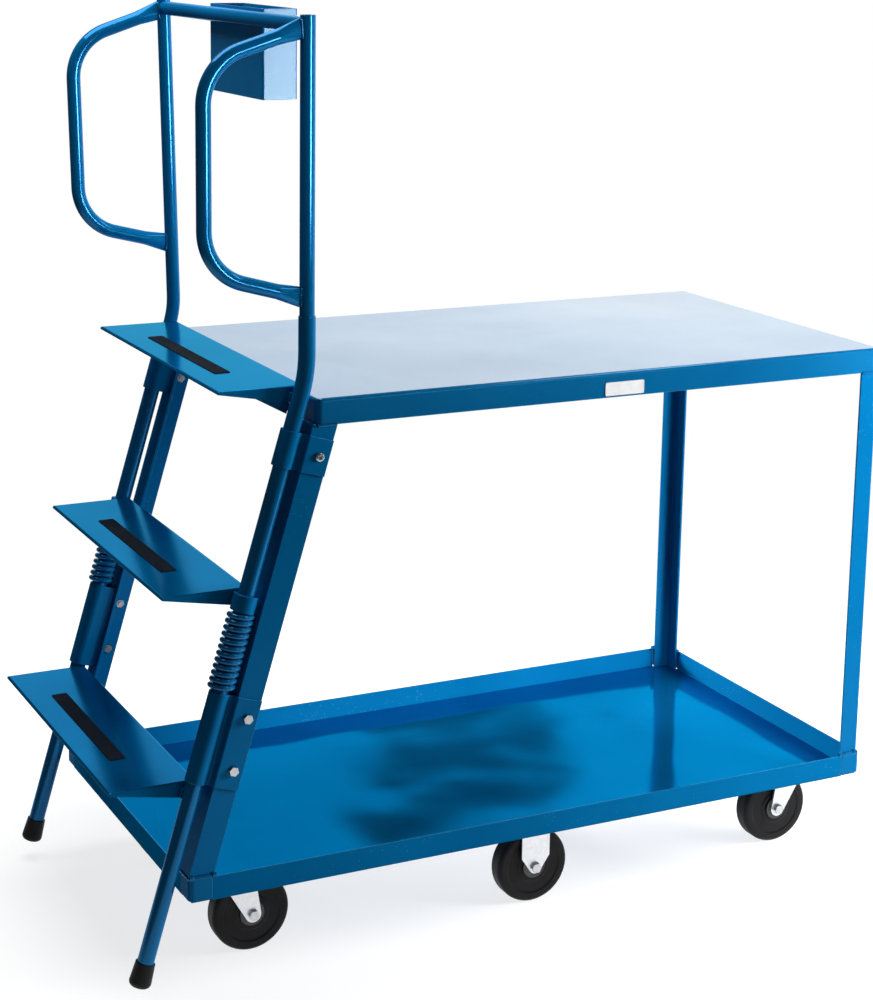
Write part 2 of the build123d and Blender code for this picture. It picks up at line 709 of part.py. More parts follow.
# Axle along Y with its head towards -Y
axle_length = 2 * fork_outer + axle_nut_height + axle_end
axle_bar = Pos(0, 0, -fork_outer) * Cylinder(axle_radius, axle_length, align=low)
axle_head = Pos(0, 0, -fork_outer) * extrude(hexagon(axle_head_width), -axle_head_height)
axle_nut = extrude(hexagon(axle_head_width), axle_nut_height)
axle_nut = axle_nut - Cylinder(axle_radius + press_gap, 2 * axle_length)
axle_nut = Pos(0, 0, fork_outer) * axle_nut
axle_pieces = [Rot(-90, 0, 0) * (axle_bar + axle_head), Rot(-90, 0, 0) * axle_nut]

# Wheel about Y
tyre_half = tyre_width / 2
tyre_floor = tyre_half - tyre_recess_depth
tyre_points = [
    (hub_radius + press_gap, tyre_half),
    (tyre_recess_inner, tyre_half),
    (tyre_recess_inner + tyre_recess_slope, tyre_floor),
    (tyre_recess_outer - tyre_recess_slope, tyre_floor),
    (tyre_recess_outer, tyre_half),
    (wheel_radius, tyre_half),
]
tyre_points = tyre_points + [(reach, -side) for reach, side in reversed(tyre_points)]
tyre_section = make_face(Polyline(*tyre_points, close=True))
tyre_section = fillet(tyre_section.vertices().group_by(Axis.X)[-1], tyre_round)
tyre = revolve(tyre_section, Axis.Y)
hub_length = 2 * (fork_inner - hub_side_gap)
hub = Cylinder(hub_radius, hub_length) - Cylinder(axle_radius + running_gap, hub_length)
hub = Rot(90, 0, 0) * hub

front_kingpin = shelf_front + front_inset
rear_kingpin = shelf_rear - rear_inset
rigid_x = shelf_middle + rigid_shift
plates = []
kingpins = []


def mirrored_if_far(shape, side):
    """A caster piece drawn for the near side, or its far twin."""
    return shape if side == "near" else near(shape)


for end, kingpin_x, turn in [("front", front_kingpin, 0), ("rear", rear_kingpin, 180)]:
    for side in ["near", "far"]:
        name = end + "_" + side
        stand = Pos(kingpin_x, -swivel_y, 0) * Rot(0, 0, turn)
        lead = swivel_lead if end == "front" else -swivel_lead
        wheel_place = Pos(kingpin_x + lead, -swivel_y, axle_height)
        plates.append(mirrored_if_far(stand * swivel_plate, side))
        kingpins.append(mirrored_if_far(stand * kingpin, side))
        nodes["fork_" + name] = mirrored_if_far(stand * fork, side)
        nodes["axle_" + name] = [mirrored_if_far(wheel_place * piece, side) for piece in axle_pieces]
        nodes["tyre_" + name] = mirrored_if_far(wheel_place * tyre, side)
        nodes["hub_" + name] = mirrored_if_far(wheel_place * hub, side)
nodes["caster_plates"] = plates
nodes["caster_kingpins"] = kingpins

for side in ["near", "far"]:
    wheel_place = Pos(rigid_x, -rigid_y, axle_height)
    nodes["rigid_fork_" + side] = mirrored_if_far(Pos(rigid_x, -rigid_y, 0) * rigid_fork, side)
    nodes["rigid_axle_" + side] = [mirrored_if_far(wheel_place * piece, side) for piece in axle_pieces]
    nodes["tyre_rigid_" + side] = mirrored_if_far(wheel_place * tyre, side)
    nodes["hub_rigid_" + side] = mirrored_if_far(wheel_place * hub, side)

os.makedirs("parts", exist_ok=True)
for name, shape in nodes.items():
    pieces = shape if isinstance(shape, list) else [shape]
    solids = [solid for piece in pieces for solid in piece.solids()]
    body = solids[0] if len(solids) == 1 else Compound(solids)
    export_step(body, os.path.join("parts", name + ".step"))

print("nodes", len(nodes))
print("shelf ends", round(shelf_front, 2), round(shelf_rear, 2), "top shelf front", round(top_front, 2))
print("rail foot x", round(rail_x(0), 2), "rail y", round(rail_y, 2), "post x", round(post_x, 2))
print("travel", round(travel, 3), "spring from", round(lower_guide_end, 2), "to", round(collar_base, 2))
print("kingpins x", round(front_kingpin, 2), round(rear_kingpin, 2), "rigid x", round(rigid_x, 2))
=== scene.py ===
"""Visual model of the ladder cart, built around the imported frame.

The frame gives every solid of the cart. This file adds the wound springs, the weld
beads and the bare plate on the top shelf, gives each surface its finish, and sets up
the floor, the light and the camera. Sizes are in metres, and angles in radians.
"""

import json
import logging
import math
import random
from dataclasses import dataclass, field
from enum import Enum
from functools import cached_property
from typing import Callable

import bpy
from bpy.types import Material, MeshEdge, Node, NodeSocket, NodeTree, Object
from mathutils import Matrix, Vector


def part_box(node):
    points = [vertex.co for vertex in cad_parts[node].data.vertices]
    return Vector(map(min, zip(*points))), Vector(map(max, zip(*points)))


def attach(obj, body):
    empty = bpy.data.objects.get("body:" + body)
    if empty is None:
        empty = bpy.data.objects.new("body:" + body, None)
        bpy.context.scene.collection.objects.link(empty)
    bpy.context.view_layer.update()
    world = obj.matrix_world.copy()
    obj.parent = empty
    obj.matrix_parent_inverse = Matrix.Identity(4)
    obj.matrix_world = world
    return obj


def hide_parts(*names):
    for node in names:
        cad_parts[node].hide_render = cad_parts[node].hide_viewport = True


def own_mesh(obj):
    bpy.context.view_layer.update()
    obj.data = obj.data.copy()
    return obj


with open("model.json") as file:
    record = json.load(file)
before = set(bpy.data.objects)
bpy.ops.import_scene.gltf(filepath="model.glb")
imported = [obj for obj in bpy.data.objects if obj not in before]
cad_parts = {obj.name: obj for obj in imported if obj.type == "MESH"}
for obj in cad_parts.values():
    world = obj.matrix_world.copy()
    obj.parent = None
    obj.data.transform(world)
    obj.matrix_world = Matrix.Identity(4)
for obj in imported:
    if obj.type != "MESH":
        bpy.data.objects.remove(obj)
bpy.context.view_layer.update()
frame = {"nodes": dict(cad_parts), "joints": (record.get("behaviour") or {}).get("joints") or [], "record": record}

log = logging.getLogger("ladder_cart")

Colour = tuple[float, float, float]
Point = tuple[float, float, float]
Span = tuple[float, float]


class Body(Enum):
    """Bodies of the frame that new pieces ride on."""

    FRAME = "frame"
    LADDER = "ladder"


class Slot(Enum):
    """Material slots of the record."""

    PAINT = "blue_paint"
    ZINC = "zinc_plate"
    FASTENER = "fastener_steel"
    HUB = "hub_steel"
    TYRE = "wheel_rubber"
    FOOT = "foot_rubber"
    GRIP = "grip_strip"


class Tread(Enum):
    """Nodes of the step treads."""

    BOTTOM = "step_bottom"
    MIDDLE = "step_middle"
    TOP = "step_top"


class Side(Enum):
    """Sides of the cart, as the sign of their Y."""

    NEAR = -1
    FAR = 1

    @property
    def word(self) -> str:
        """The side's word in the names of nodes and pieces."""
        return self.name.lower()


class Pick(Enum):
    """What is selected in edit mode, with the name of a mesh's list of it."""

    FACE = "polygons"
    EDGE = "edges"


@dataclass(frozen=True)
class Cloud:
    """A cloudy pattern: how many clouds it has to a metre, and how many finer layers."""

    scale: float
    detail: float


class NodeBench:
    """Adds, sets and joins the nodes of one material or world."""

    edge_samples: int = 6
    # How far the softened normal agrees with the plain one, where an edge begins and where it is full
    edge_bend: Span = (0.99, 0.86)
    wear_span: Span = (0.3, 0.7)
    # Sockets of a node that mixes two colours
    mix_share: int = 0
    mix_base: int = 6
    mix_over: int = 7
    mix_result: int = 2

    def __init__(self, tree: NodeTree) -> None:
        """Takes over a node tree and empties it."""
        self.tree = tree
        tree.nodes.clear()

    def add(self, kind: str, inputs: dict[str | int, object] | None = None, **settings: object) -> Node:
        """Adds a node and fills its sockets.

        Args:
            kind: the node's type, without its ShaderNode prefix.
            inputs: socket names or numbers, with a plain value or the output socket to join.
            settings: the node's own properties.

        Returns:
            The new node.
        """
        node = self.tree.nodes.new("ShaderNode" + kind)
        for name, value in settings.items():
            setattr(node, name, value)
        for name, value in (inputs or {}).items():
            self.fill(node.inputs[name], value)
        return node

    def fill(self, socket: NodeSocket, value: object) -> None:
        """Gives a socket its value, or joins another node's output to it.

        Args:
            socket: the input socket.
            value: a number, a colour, a vector or an output socket.
        """
        if isinstance(value, NodeSocket):
            self.tree.links.new(value, socket)
        elif socket.type == "RGBA":
            socket.default_value = (*value, 1.0)
        else:
            socket.default_value = value

    @cached_property
    def place(self) -> NodeSocket:
        """The surface's place on the object."""
        return self.add("TexCoord").outputs["Object"]

    def stretch(self, scale: Point) -> NodeSocket:
        """The place on the object, scaled by its own amount along each axis."""
        return self.add("Mapping", {"Vector": self.place, "Scale": scale}).outputs["Vector"]

    def noise(self, cloud: Cloud, where: NodeSocket | None = None) -> NodeSocket:
        """Makes a cloudy pattern between 0 and 1.

        Args:
            cloud: the pattern's scale and detail.
            where: the coordinate that it follows, which is the place on the object if none is given.

        Returns:
            The pattern.
        """
        spot = self.place if where is None else where
        sockets = {"Vector": spot, "Scale": cloud.scale, "Detail": cloud.detail}
        return self.add("TexNoise", sockets).outputs["Fac"]

    def cells(self, scale: float) -> NodeSocket:
        """Distance from the middles of scattered cells, so many to a metre."""
        return self.add("TexVoronoi", {"Vector": self.place, "Scale": scale}).outputs["Distance"]

    def span(self, value: NodeSocket, source: Span, target: Span) -> NodeSocket:
        """Maps a value from one range to another and holds it there.

        Args:
            value: the value to map.
            source: the range that it comes from.
            target: the range that it goes to.

        Returns:
            The mapped value.
        """
        sockets = {"Value": value, "From Min": source[0], "From Max": source[1],
                   "To Min": target[0], "To Max": target[1]}
        return self.add("MapRange", sockets).outputs["Result"]

    def wear(self, pattern: NodeSocket, smooth: float, rough: float) -> NodeSocket:
        """Roughness that wears from smooth to rough over the middle of a pattern."""
        return self.span(pattern, self.wear_span, (smooth, rough))

    def math(self, operation: str, first: object, second: object = 0.0) -> NodeSocket:
        """One step of arithmetic on two numbers or sockets, by its name, such as ADD."""
        return self.add("Math", {0: first, 1: second}, operation=operation).outputs[0]

    def times(self, first: object, second: object) -> NodeSocket:
        """Two numbers or sockets, multiplied."""
        return self.math("MULTIPLY", first, second)

    def dot(self, first: object, second: object) -> NodeSocket:
        """How far two directions agree: 1 where they are the same, -1 where they are opposite."""
        return self.add("VectorMath", {0: first, 1: second}, operation="DOT_PRODUCT").outputs["Value"]

    def ramp(self, value: NodeSocket, stops: list[tuple[float, Colour]]) -> NodeSocket:
        """Turns a value into a colour.

        Args:
            value: a value between 0 and 1.
            stops: places on the ramp with their colours, in rising order.

        Returns:
            The colour.
        """
        node = self.add("ValToRGB", {"Fac": value})
        elements = node.color_ramp.elements
        while len(elements) < len(stops):
            elements.new(1.0)
        for element, (where, colour) in zip(elements, stops):
            element.position = where
            element.color = (*colour, 1.0)
        return node.outputs["Color"]

    def fade(self, value: NodeSocket, span: Span, first: Colour, last: Colour) -> NodeSocket:
        """A colour that goes from the first to the last one over a span of a value."""
        return self.ramp(value, list(zip(span, (first, last))))

    def mix(self, share: NodeSocket, base: object, over: object) -> NodeSocket:
        """Lays a share of one colour over another one, each a socket or a plain colour."""
        sockets = {self.mix_share: share, self.mix_base: base, self.mix_over: over}
        return self.add("Mix", sockets, data_type="RGBA").outputs[self.mix_result]

    def edges(self, rounding: float) -> tuple[NodeSocket, NodeSocket]:
        """Finds the sharp edges of a piece.

        Args:
            rounding: how far from an edge its soft rounding reaches.

        Returns:
            The normal with softened edges, and a mask that is 1 on the edges.
        """
        soft = self.add("Bevel", {"Radius": rounding}, samples=self.edge_samples).outputs["Normal"]
        plain = self.add("NewGeometry").outputs["Normal"]
        mask = self.span(self.dot(soft, plain), self.edge_bend, (0.0, 1.0))
        return soft, mask

    def bump(self, height: NodeSocket, depth: float, normal: NodeSocket | None = None) -> NodeSocket:
        """Raises a pattern out of the surface.

        Args:
            height: the pattern, between 0 and 1.
            depth: the pattern's height.
            normal: the normal that it is laid on.

        Returns:
            The bumped normal.
        """
        node = self.add("Bump", {"Height": height, "Strength": 1.0, "Distance": depth})
        if normal is not None:
            self.fill(node.inputs["Normal"], normal)
        return node.outputs["Normal"]

    def surface(self, inputs: dict[str | int, object]) -> None:
        """Ends the tree with a surface shader, given its sockets and their values."""
        shader = self.add("BsdfPrincipled", inputs)
        self.add("OutputMaterial", {"Surface": shader.outputs["BSDF"]})


def new_material(name: str) -> tuple[Material, NodeBench]:
    """Starts a material.

    Args:
        name: the material's name.

    Returns:
        The material and the bench for its nodes.
    """
    material = bpy.data.materials.new(name)
    material.use_nodes = True
    return material, NodeBench(material.node_tree)


@dataclass(frozen=True)
class EnamelFinish:
    """Baked blue enamel on steel, with orange peel, a painted highlight on its edges, specks and a few chips.

    The lustre is the share of tinted mirror in the paint. Where the upright values are
    set, they hold on faces that stand up, and the plain ones on level faces.
    """

    name: str
    pale: Colour = (0.002, 0.170, 0.420)
    deep: Colour = (0.001, 0.135, 0.350)
    shade: Cloud = Cloud(3.2, 3.0)
    shade_span: Span = (0.32, 0.68)
    lustre: float = 0.12
    sheen_tint: Colour = (0.15, 0.78, 1.0)
    specular: float = 0.0
    index: float = 1.5
    smooth: float = 0.17
    rough: float = 0.26
    worn: Cloud = Cloud(14.0, 5.0)
    coat: float = 0.06
    coat_rough: float = 0.10
    coat_index: float = 1.5
    upright_rough: float = 0.0
    upright_lustre: float = 0.0
    upright_coat: float = 0.0
    upright_span: Span = (0.3, 0.9)
    # Lighter blue mixed onto the edges: a painted highlight
    edge: Colour = (0.045, 0.320, 0.610)
    edge_reach: float = 0.0011
    edge_thinning: float = 0.75
    edge_coat: float = 0.55
    steel: Colour = (0.16, 0.17, 0.18)
    chip: Cloud = Cloud(46.0, 4.0)
    chip_span: Span = (0.66, 0.70)
    speck: Colour = (0.16, 0.33, 0.50)
    speck_scale: float = 150.0
    speck_reach: float = 0.13
    speck_core: float = 0.078
    scratch_stretch: Point = (9.0, 70.0, 70.0)
    scratch: Cloud = Cloud(3.0, 2.0)
    scratch_span: Span = (0.735, 0.76)
    scratch_strength: float = 0.6
    dust: Cloud = Cloud(5.0, 3.0)
    dust_span: Span = (0.48, 0.66)
    dust_strength: float = 0.8
    peel: Cloud = Cloud(520.0, 2.0)
    peel_depth: float = 0.000035
    wave: Cloud = Cloud(3.0, 0.6)
    wave_depth: float = 0.0
    dent: Cloud = Cloud(8.0, 1.0)
    dent_depth: float = 0.0

    def make(self) -> Material:
        """Makes the material of this finish.

        Returns:
            The material.
        """
        material, bench = new_material(self.name)
        soft, edge_mask = bench.edges(self.edge_reach)
        normal = self.relief(bench, soft)
        bench.surface({
            "Base Color": self.colour(bench, edge_mask),
            **self.gloss(bench, edge_mask),
            "Specular IOR Level": self.specular,
            "Specular Tint": self.sheen_tint,
            "IOR": self.index,
            "Coat Roughness": self.coat_rough,
            "Coat IOR": self.coat_index,
            "Normal": normal,
            "Coat Normal": normal,
        })
        return material

    def colour(self, bench: NodeBench, edge_mask: NodeSocket) -> NodeSocket:
        """Paints the clouded enamel, lighter at the edges as a painted highlight, with its chips and specks.

        Args:
            bench: the bench of the material.
            edge_mask: 1 on the edges.

        Returns:
            The colour.
        """
        enamel = bench.fade(bench.noise(self.shade), self.shade_span, self.deep, self.pale)
        # Edges mixed towards the lighter blue: a painted highlight
        edge_highlighted = bench.mix(bench.times(edge_mask, self.edge_thinning), enamel, self.edge)
        chips = bench.span(bench.noise(self.chip), self.chip_span, (0.0, 1.0))
        chipped = bench.mix(bench.times(chips, edge_mask), edge_highlighted, self.steel)
        return bench.mix(self.specks(bench), chipped, self.speck)

    def specks(self, bench: NodeBench) -> NodeSocket:
        """Scatters pale specks of dust and small scratches, thick in some places and sparse in others.

        Args:
            bench: the bench of the material.

        Returns:
            A mask that is 1 on a speck.
        """
        dots = bench.span(bench.cells(self.speck_scale), (self.speck_reach, self.speck_core), (0.0, 1.0))
        streaks = bench.noise(self.scratch, bench.stretch(self.scratch_stretch))
        scratches = bench.span(streaks, self.scratch_span, (0.0, self.scratch_strength))
        patches = bench.span(bench.noise(self.dust), self.dust_span, (0.0, self.dust_strength))
        return bench.times(bench.math("MAXIMUM", dots, scratches), patches)

    def gloss(self, bench: NodeBench, edge_mask: NodeSocket) -> dict[str, object]:
        """Sets how the paint shines on level and on upright faces.

        Args:
            bench: the bench of the material.
            edge_mask: 1 on the edges.

        Returns:
            The shader's sockets for roughness, lustre and coat, with their values.
        """
        rough = bench.wear(bench.noise(self.worn), self.smooth, self.rough)
        lustre, coat = self.lustre, self.coat
        if self.upright_rough > 0.0:
            normal = bench.add("NewGeometry").outputs["True Normal"]
            height = bench.add("SeparateXYZ", {"Vector": normal}).outputs["Z"]
            level = bench.math("ABSOLUTE", height)
            least_rough = bench.span(level, self.upright_span, (self.upright_rough, 0.0))
            rough = bench.math("MAXIMUM", rough, least_rough)
            lustre = bench.span(level, self.upright_span, (self.upright_lustre, self.lustre))
            coat = bench.span(level, self.upright_span, (self.upright_coat, self.coat))
        coat = bench.math("MAXIMUM", bench.times(edge_mask, self.edge_coat), coat)
        return {"Roughness": rough, "Metallic": lustre, "Coat Weight": coat}

    def relief(self, bench: NodeBench, soft: NodeSocket) -> NodeSocket:
        """Lays the sheet's waves and dents and the orange peel on the softened edges.

        Args:
            bench: the bench of the material.
            soft: the normal with softened edges.

        Returns:
            The bumped normal.
        """
        normal = soft
        layers = ((self.wave, self.wave_depth), (self.dent, self.dent_depth), (self.peel, self.peel_depth))
        for cloud, depth in layers:
            if depth > 0.0:
                normal = bench.bump(bench.noise(cloud), depth, normal)
        return normal


@dataclass(frozen=True)
class MetalFinish:
    """Bare or plated steel with a faint grain, cloudy plating, dull spots and a painted highlight on its edges."""

    name: str
    pale: Colour
    deep: Colour
    smooth: float
    rough: float
    lustre: float = 1.0
    spangle_scale: float = 160.0
    spangle_share: float = 0.35
    cloud: Cloud = Cloud(26.0, 4.0)
    cloud_share: float = 0.75
    plate_span: Span = (0.25, 0.75)
    edge_reach: float = 0.0006
    # Share of the pale colour mixed onto the edges: a painted highlight
    edge_shine: float = 0.5
    grain_stretch: Point = (30.0, 30.0, 420.0)
    grain: Cloud = Cloud(1.0, 4.0)
    grain_share: float = 0.5
    grain_depth: float = 0.00002

    def make(self) -> Material:
        """Makes the material of this finish.

        Returns:
            The material.
        """
        material, bench = new_material(self.name)
        soft, edge_mask = bench.edges(self.edge_reach)
        cloud = bench.noise(self.cloud)
        spangles = bench.times(bench.cells(self.spangle_scale), self.spangle_share)
        plate = bench.math("ADD", spangles, bench.times(cloud, self.cloud_share))
        colour = bench.fade(plate, self.plate_span, self.deep, self.pale)
        grain = bench.noise(self.grain, bench.stretch(self.grain_stretch))
        worn = bench.math("ADD", bench.times(grain, self.grain_share),
                          bench.times(cloud, 1.0 - self.grain_share))
        bench.surface({
            # Edges lightened towards the pale colour: a painted highlight
            "Base Color": bench.mix(bench.times(edge_mask, self.edge_shine), colour, self.pale),
            "Metallic": self.lustre,
            "Roughness": bench.wear(worn, self.smooth, self.rough),
            "Normal": bench.bump(grain, self.grain_depth, soft),
        })
        return material


@dataclass(frozen=True)
class RubberFinish:
    """Moulded black rubber, dusty in cloudy patches and scuffed on its edges."""

    name: str
    black: Colour = (0.008, 0.008, 0.009)
    dusty: Colour = (0.019, 0.018, 0.018)
    dust: Cloud = Cloud(34.0, 6.0)
    dust_span: Span = (0.35, 0.78)
    scuffed: Colour = (0.040, 0.039, 0.038)
    scuff: Cloud = Cloud(120.0, 3.0)
    edge_reach: float = 0.0015
    smooth: float = 0.42
    rough: float = 0.66
    specular: float = 0.22
    pebble: Cloud = Cloud(900.0, 2.0)
    pebble_depth: float = 0.00006

    def make(self) -> Material:
        """Makes the material of this finish.

        Returns:
            The material.
        """
        material, bench = new_material(self.name)
        soft, edge_mask = bench.edges(self.edge_reach)
        dust = bench.noise(self.dust)
        colour = bench.fade(dust, self.dust_span, self.black, self.dusty)
        scuffs = bench.times(edge_mask, bench.noise(self.scuff))
        bench.surface({
            "Base Color": bench.mix(scuffs, colour, self.scuffed),
            "Roughness": bench.wear(dust, self.smooth, self.rough),
            "Specular IOR Level": self.specular,
            "Normal": bench.bump(bench.noise(self.pebble), self.pebble_depth, soft),
        })
        return material


@dataclass(frozen=True)
class GritFinish:
    """Black anti-slip tape with mineral grit, trodden smooth in places, with a painted glint on its grains."""

    name: str
    black: Colour = (0.001, 0.003, 0.008)
    # Lighter bluish colour on the grains: a painted glint
    glint: Colour = (0.010, 0.018, 0.032)
    glint_span: Span = (0.10, 0.55)
    grain_scale: float = 1500.0
    grain_depth: float = 0.00035
    trodden: Cloud = Cloud(22.0, 4.0)
    smooth: float = 0.62
    rough: float = 0.9
    specular: float = 0.05

    def make(self) -> Material:
        """Makes the material of this finish.

        Returns:
            The material.
        """
        material, bench = new_material(self.name)
        grains = bench.cells(self.grain_scale)
        trodden = bench.noise(self.trodden)
        lit = bench.times(grains, trodden)
        bench.surface({
            "Base Color": bench.fade(lit, self.glint_span, self.black, self.glint),
            "Roughness": bench.wear(trodden, self.smooth, self.rough),
            "Specular IOR Level": self.specular,
            "Normal": bench.bump(grains, self.grain_depth),
        })
        return material


@dataclass(frozen=True)
class PlateFinish:
    """White enamelled plate, bare, a little handled."""

    name: str
    white: Colour = (0.93, 0.94, 0.95)
    handled: Colour = (0.87, 0.88, 0.88)
    smear: Cloud = Cloud(60.0, 5.0)
    smear_span: Span = (0.35, 0.6)
    edge_reach: float = 0.0004
    edge_handling: float = 0.4
    smooth: float = 0.28
    rough: float = 0.42
    peel: Cloud = Cloud(700.0, 2.0)
    peel_depth: float = 0.00002

    def make(self) -> Material:
        """Makes the material of this finish.

        Returns:
            The material.
        """
        material, bench = new_material(self.name)
        soft, edge_mask = bench.edges(self.edge_reach)
        smear = bench.noise(self.smear)
        colour = bench.fade(smear, self.smear_span, self.handled, self.white)
        bench.surface({
            "Base Color": bench.mix(bench.times(edge_mask, self.edge_handling), colour, self.handled),
            "Roughness": bench.wear(smear, self.smooth, self.rough),
            "Normal": bench.bump(bench.noise(self.peel), self.peel_depth, soft),
        })
        return material


class Look(Enum):
    """Finishes of the cart's pieces; those named as a slot are the usual ones of that slot."""

    PAINT = EnamelFinish("blue_enamel")
    TOP_SHEET = EnamelFinish("blue_enamel_top_sheet", lustre=0.20, specular=0.5, smooth=0.16, rough=0.22,
                             coat=1.0, upright_rough=0.26, upright_lustre=0.20, upright_coat=0.06,
                             wave=Cloud(2.6, 0.6), wave_depth=0.0080)
    PAN_SHEET = EnamelFinish("blue_enamel_pan_sheet", lustre=0.66, smooth=0.05, rough=0.08, coat=0.0,
                             upright_rough=0.26, upright_lustre=0.12, wave=Cloud(3.4, 0.6),
                             wave_depth=0.0100, dent_depth=0.0005)
    BOX_SHEET = EnamelFinish("blue_enamel_box_sheet", lustre=0.0, specular=0.1, coat=0.05, coat_index=3.0)
    TUBE = EnamelFinish("blue_enamel_tube", lustre=0.30, smooth=0.10, rough=0.17, coat=0.25)
    TREAD = EnamelFinish("blue_enamel_tread", lustre=0.72, smooth=0.15, rough=0.21, upright_rough=0.26,
                         upright_lustre=0.06)
    WELD = EnamelFinish("blue_enamel_weld", lustre=0.30, smooth=0.08, rough=0.14, coat=0.5)
    PLATE = PlateFinish("white_plate")
    ZINC = MetalFinish("bright_zinc", pale=(0.95, 0.96, 0.97), deep=(0.80, 0.81, 0.83),
                       smooth=0.30, rough=0.48, lustre=0.9)
    FASTENER = MetalFinish("fastener_zinc", pale=(0.72, 0.73, 0.74), deep=(0.50, 0.51, 0.53),
                           smooth=0.24, rough=0.42)
    HUB = MetalFinish("hub_dark_steel", pale=(0.10, 0.10, 0.105), deep=(0.05, 0.05, 0.055),
                      smooth=0.34, rough=0.55)
    TYRE = RubberFinish("tyre_rubber")
    FOOT = RubberFinish("foot_rubber", black=(0.006, 0.006, 0.006))
    GRIP = GritFinish("black_grit_tape")


class ModelBench:
    """Shared steps of modelling by hand: selecting, editing, placing and copying."""

    @staticmethod
    def clear() -> None:
        """Leaves edit mode and deselects everything."""
        if bpy.context.object is not None and bpy.context.object.mode != "OBJECT":
            bpy.ops.object.mode_set(mode="OBJECT")
        bpy.ops.object.select_all(action="DESELECT")

    @staticmethod
    def take(piece: Object) -> None:
        """Selects one object alone and makes it active.

        Args:
            piece: the object to work on.
        """
        ModelBench.clear()
        piece.select_set(True)
        bpy.context.view_layer.objects.active = piece

    @staticmethod
    def settle(piece: Object) -> None:
        """Moves an object's place, turn and scale into its mesh."""
        ModelBench.take(piece)
        bpy.ops.object.transform_apply(location=True, rotation=True, scale=True)

    @staticmethod
    def select(piece: Object, kind: Pick, wanted: Callable[[object], bool]) -> None:
        """Selects the faces or edges that a rule picks, and enters edit mode.

        Args:
            piece: the object to edit.
            kind: whether faces or edges are selected.
            wanted: says whether one of them is selected.
        """
        ModelBench.take(piece)
        bpy.ops.object.mode_set(mode="EDIT")
        bpy.ops.mesh.select_mode(type=kind.name)
        bpy.ops.mesh.select_all(action="DESELECT")
        bpy.ops.object.mode_set(mode="OBJECT")
        for part in getattr(piece.data, kind.value):
            part.select = wanted(part)
        bpy.ops.object.mode_set(mode="EDIT")

    @staticmethod
    def close_skin(piece: Object, reach: float) -> None:
        """Merges doubles and turns all faces outwards.

        Args:
            piece: the object to mend.
            reach: how close two corners are merged.
        """
        ModelBench.take(piece)
        bpy.ops.object.mode_set(mode="EDIT")
        bpy.ops.mesh.select_all(action="SELECT")
        bpy.ops.mesh.remove_doubles(threshold=reach)
        bpy.ops.mesh.normals_make_consistent(inside=False)
        bpy.ops.object.mode_set(mode="OBJECT")

    @staticmethod
    def join(parts: list[Object]) -> Object:
        """Joins objects to the first of them.

        Args:
            parts: the objects, more than one.

        Returns:
            The joined object.
        """
        ModelBench.take(parts[0])
        for part in parts:
            part.select_set(True)
        bpy.ops.object.join()
        return bpy.context.object

    @staticmethod
    def copy(pattern: Object, name: str, place: Matrix) -> Object:
        """Copies a modelled pattern to a place, with a mesh of its own.

        Args:
            pattern: the object that was modelled once.
            name: the copy's name.
            place: where the copy goes.

        Returns:
            The copy, whose object sits at the origin.
        """
        mesh = pattern.data.copy()
        mesh.name = name
        mesh.transform(place)
        piece = bpy.data.objects.new(name, mesh)
        bpy.context.scene.collection.objects.link(piece)
        return piece

    @staticmethod
    def drop(pattern: Object) -> None:
        """Takes away a pattern once its copies are made."""
        bpy.data.objects.remove(pattern, do_unlink=True)


def frame_axes(origin: Vector, along: Vector, up: Vector) -> Matrix:
    """Makes the place of a piece that was drawn along X with Z up.

    Args:
        origin: where the piece's middle goes.
        along: where its X points.
        up: roughly where its Z points.

    Returns:
        The place as a matrix.
    """
    run = along.normalized()
    side = up.cross(run).normalized()
    rise = run.cross(side)
    turn = Matrix((run, side, rise)).transposed().to_4x4()
    return Matrix.Translation(origin) @ turn


def shifted(span: Span, by: float) -> Span:
    """A stretch of an axis, moved along it."""
    return span[0] + by, span[1] + by


@dataclass(frozen=True)
class CartLayout:
    """Main lines of the cart that new pieces are placed on."""

    slope: float
    rail_y: float
    leg_face: float
    post_x: float
    post_top: float
    knee_height: float = 0.938
    far_shift: float = 0.013

    @classmethod
    def of_frame(cls) -> "CartLayout":
        """Reads the lines off the ladder's slide and the solids of the near side.

        Returns:
            The layout.
        """
        slide = next(joint for joint in frame["joints"] if joint["name"] == "ladder_slide")
        down_x, _, down_z = slide["axis"]
        post_low, post_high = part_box("post_near")
        leg_low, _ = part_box("front_leg_near")
        return cls(
            slope=math.atan2(-down_x, -down_z),
            rail_y=-(post_low.y + post_high.y) / 2,
            leg_face=-leg_low.y,
            post_x=(post_low.x + post_high.x) / 2,
            post_top=post_high.z,
        )

    @property
    def rail_way(self) -> Vector:
        """Direction up the ladder rails."""
        return Vector((math.sin(self.slope), 0.0, math.cos(self.slope)))

    @property
    def rail_front(self) -> Vector:
        """Direction square to the ladder rails, level with the cart's length."""
        return Vector((math.cos(self.slope), 0.0, -math.sin(self.slope)))

    def rail_x(self, height: float) -> float:
        """X of the rails' axes at a height, which meet the post's axis at the knee."""
        return self.post_x + (height - self.knee_height) * math.tan(self.slope)

    def on_rail(self, along: float, side: Side) -> Vector:
        """Point on a rail's axis, at a distance up the rail from the floor."""
        foot = Vector((self.rail_x(0.0), side.value * self.rail_y, 0.0))
        return foot + self.rail_way * along

    def lean_at(self, height: float) -> float:
        """How far the far post has leant towards the steps at a height."""
        return self.far_shift * (height - self.knee_height) / (self.post_top - self.knee_height)

    def lean(self, side: Side) -> Matrix:
        """Turns what is fixed to a post, as the far post leans a little.

        Args:
            side: which post.

        Returns:
            The turn about the post's knee.
        """
        if side is Side.NEAR:
            return Matrix.Identity(4)
        knee = Vector((self.post_x, 0.0, self.knee_height))
        angle = math.atan2(self.far_shift, self.post_top - self.knee_height)
        turn = Matrix.Rotation(-angle, 4, "Y")
        return Matrix.Translation(knee) @ turn @ Matrix.Translation(-knee)


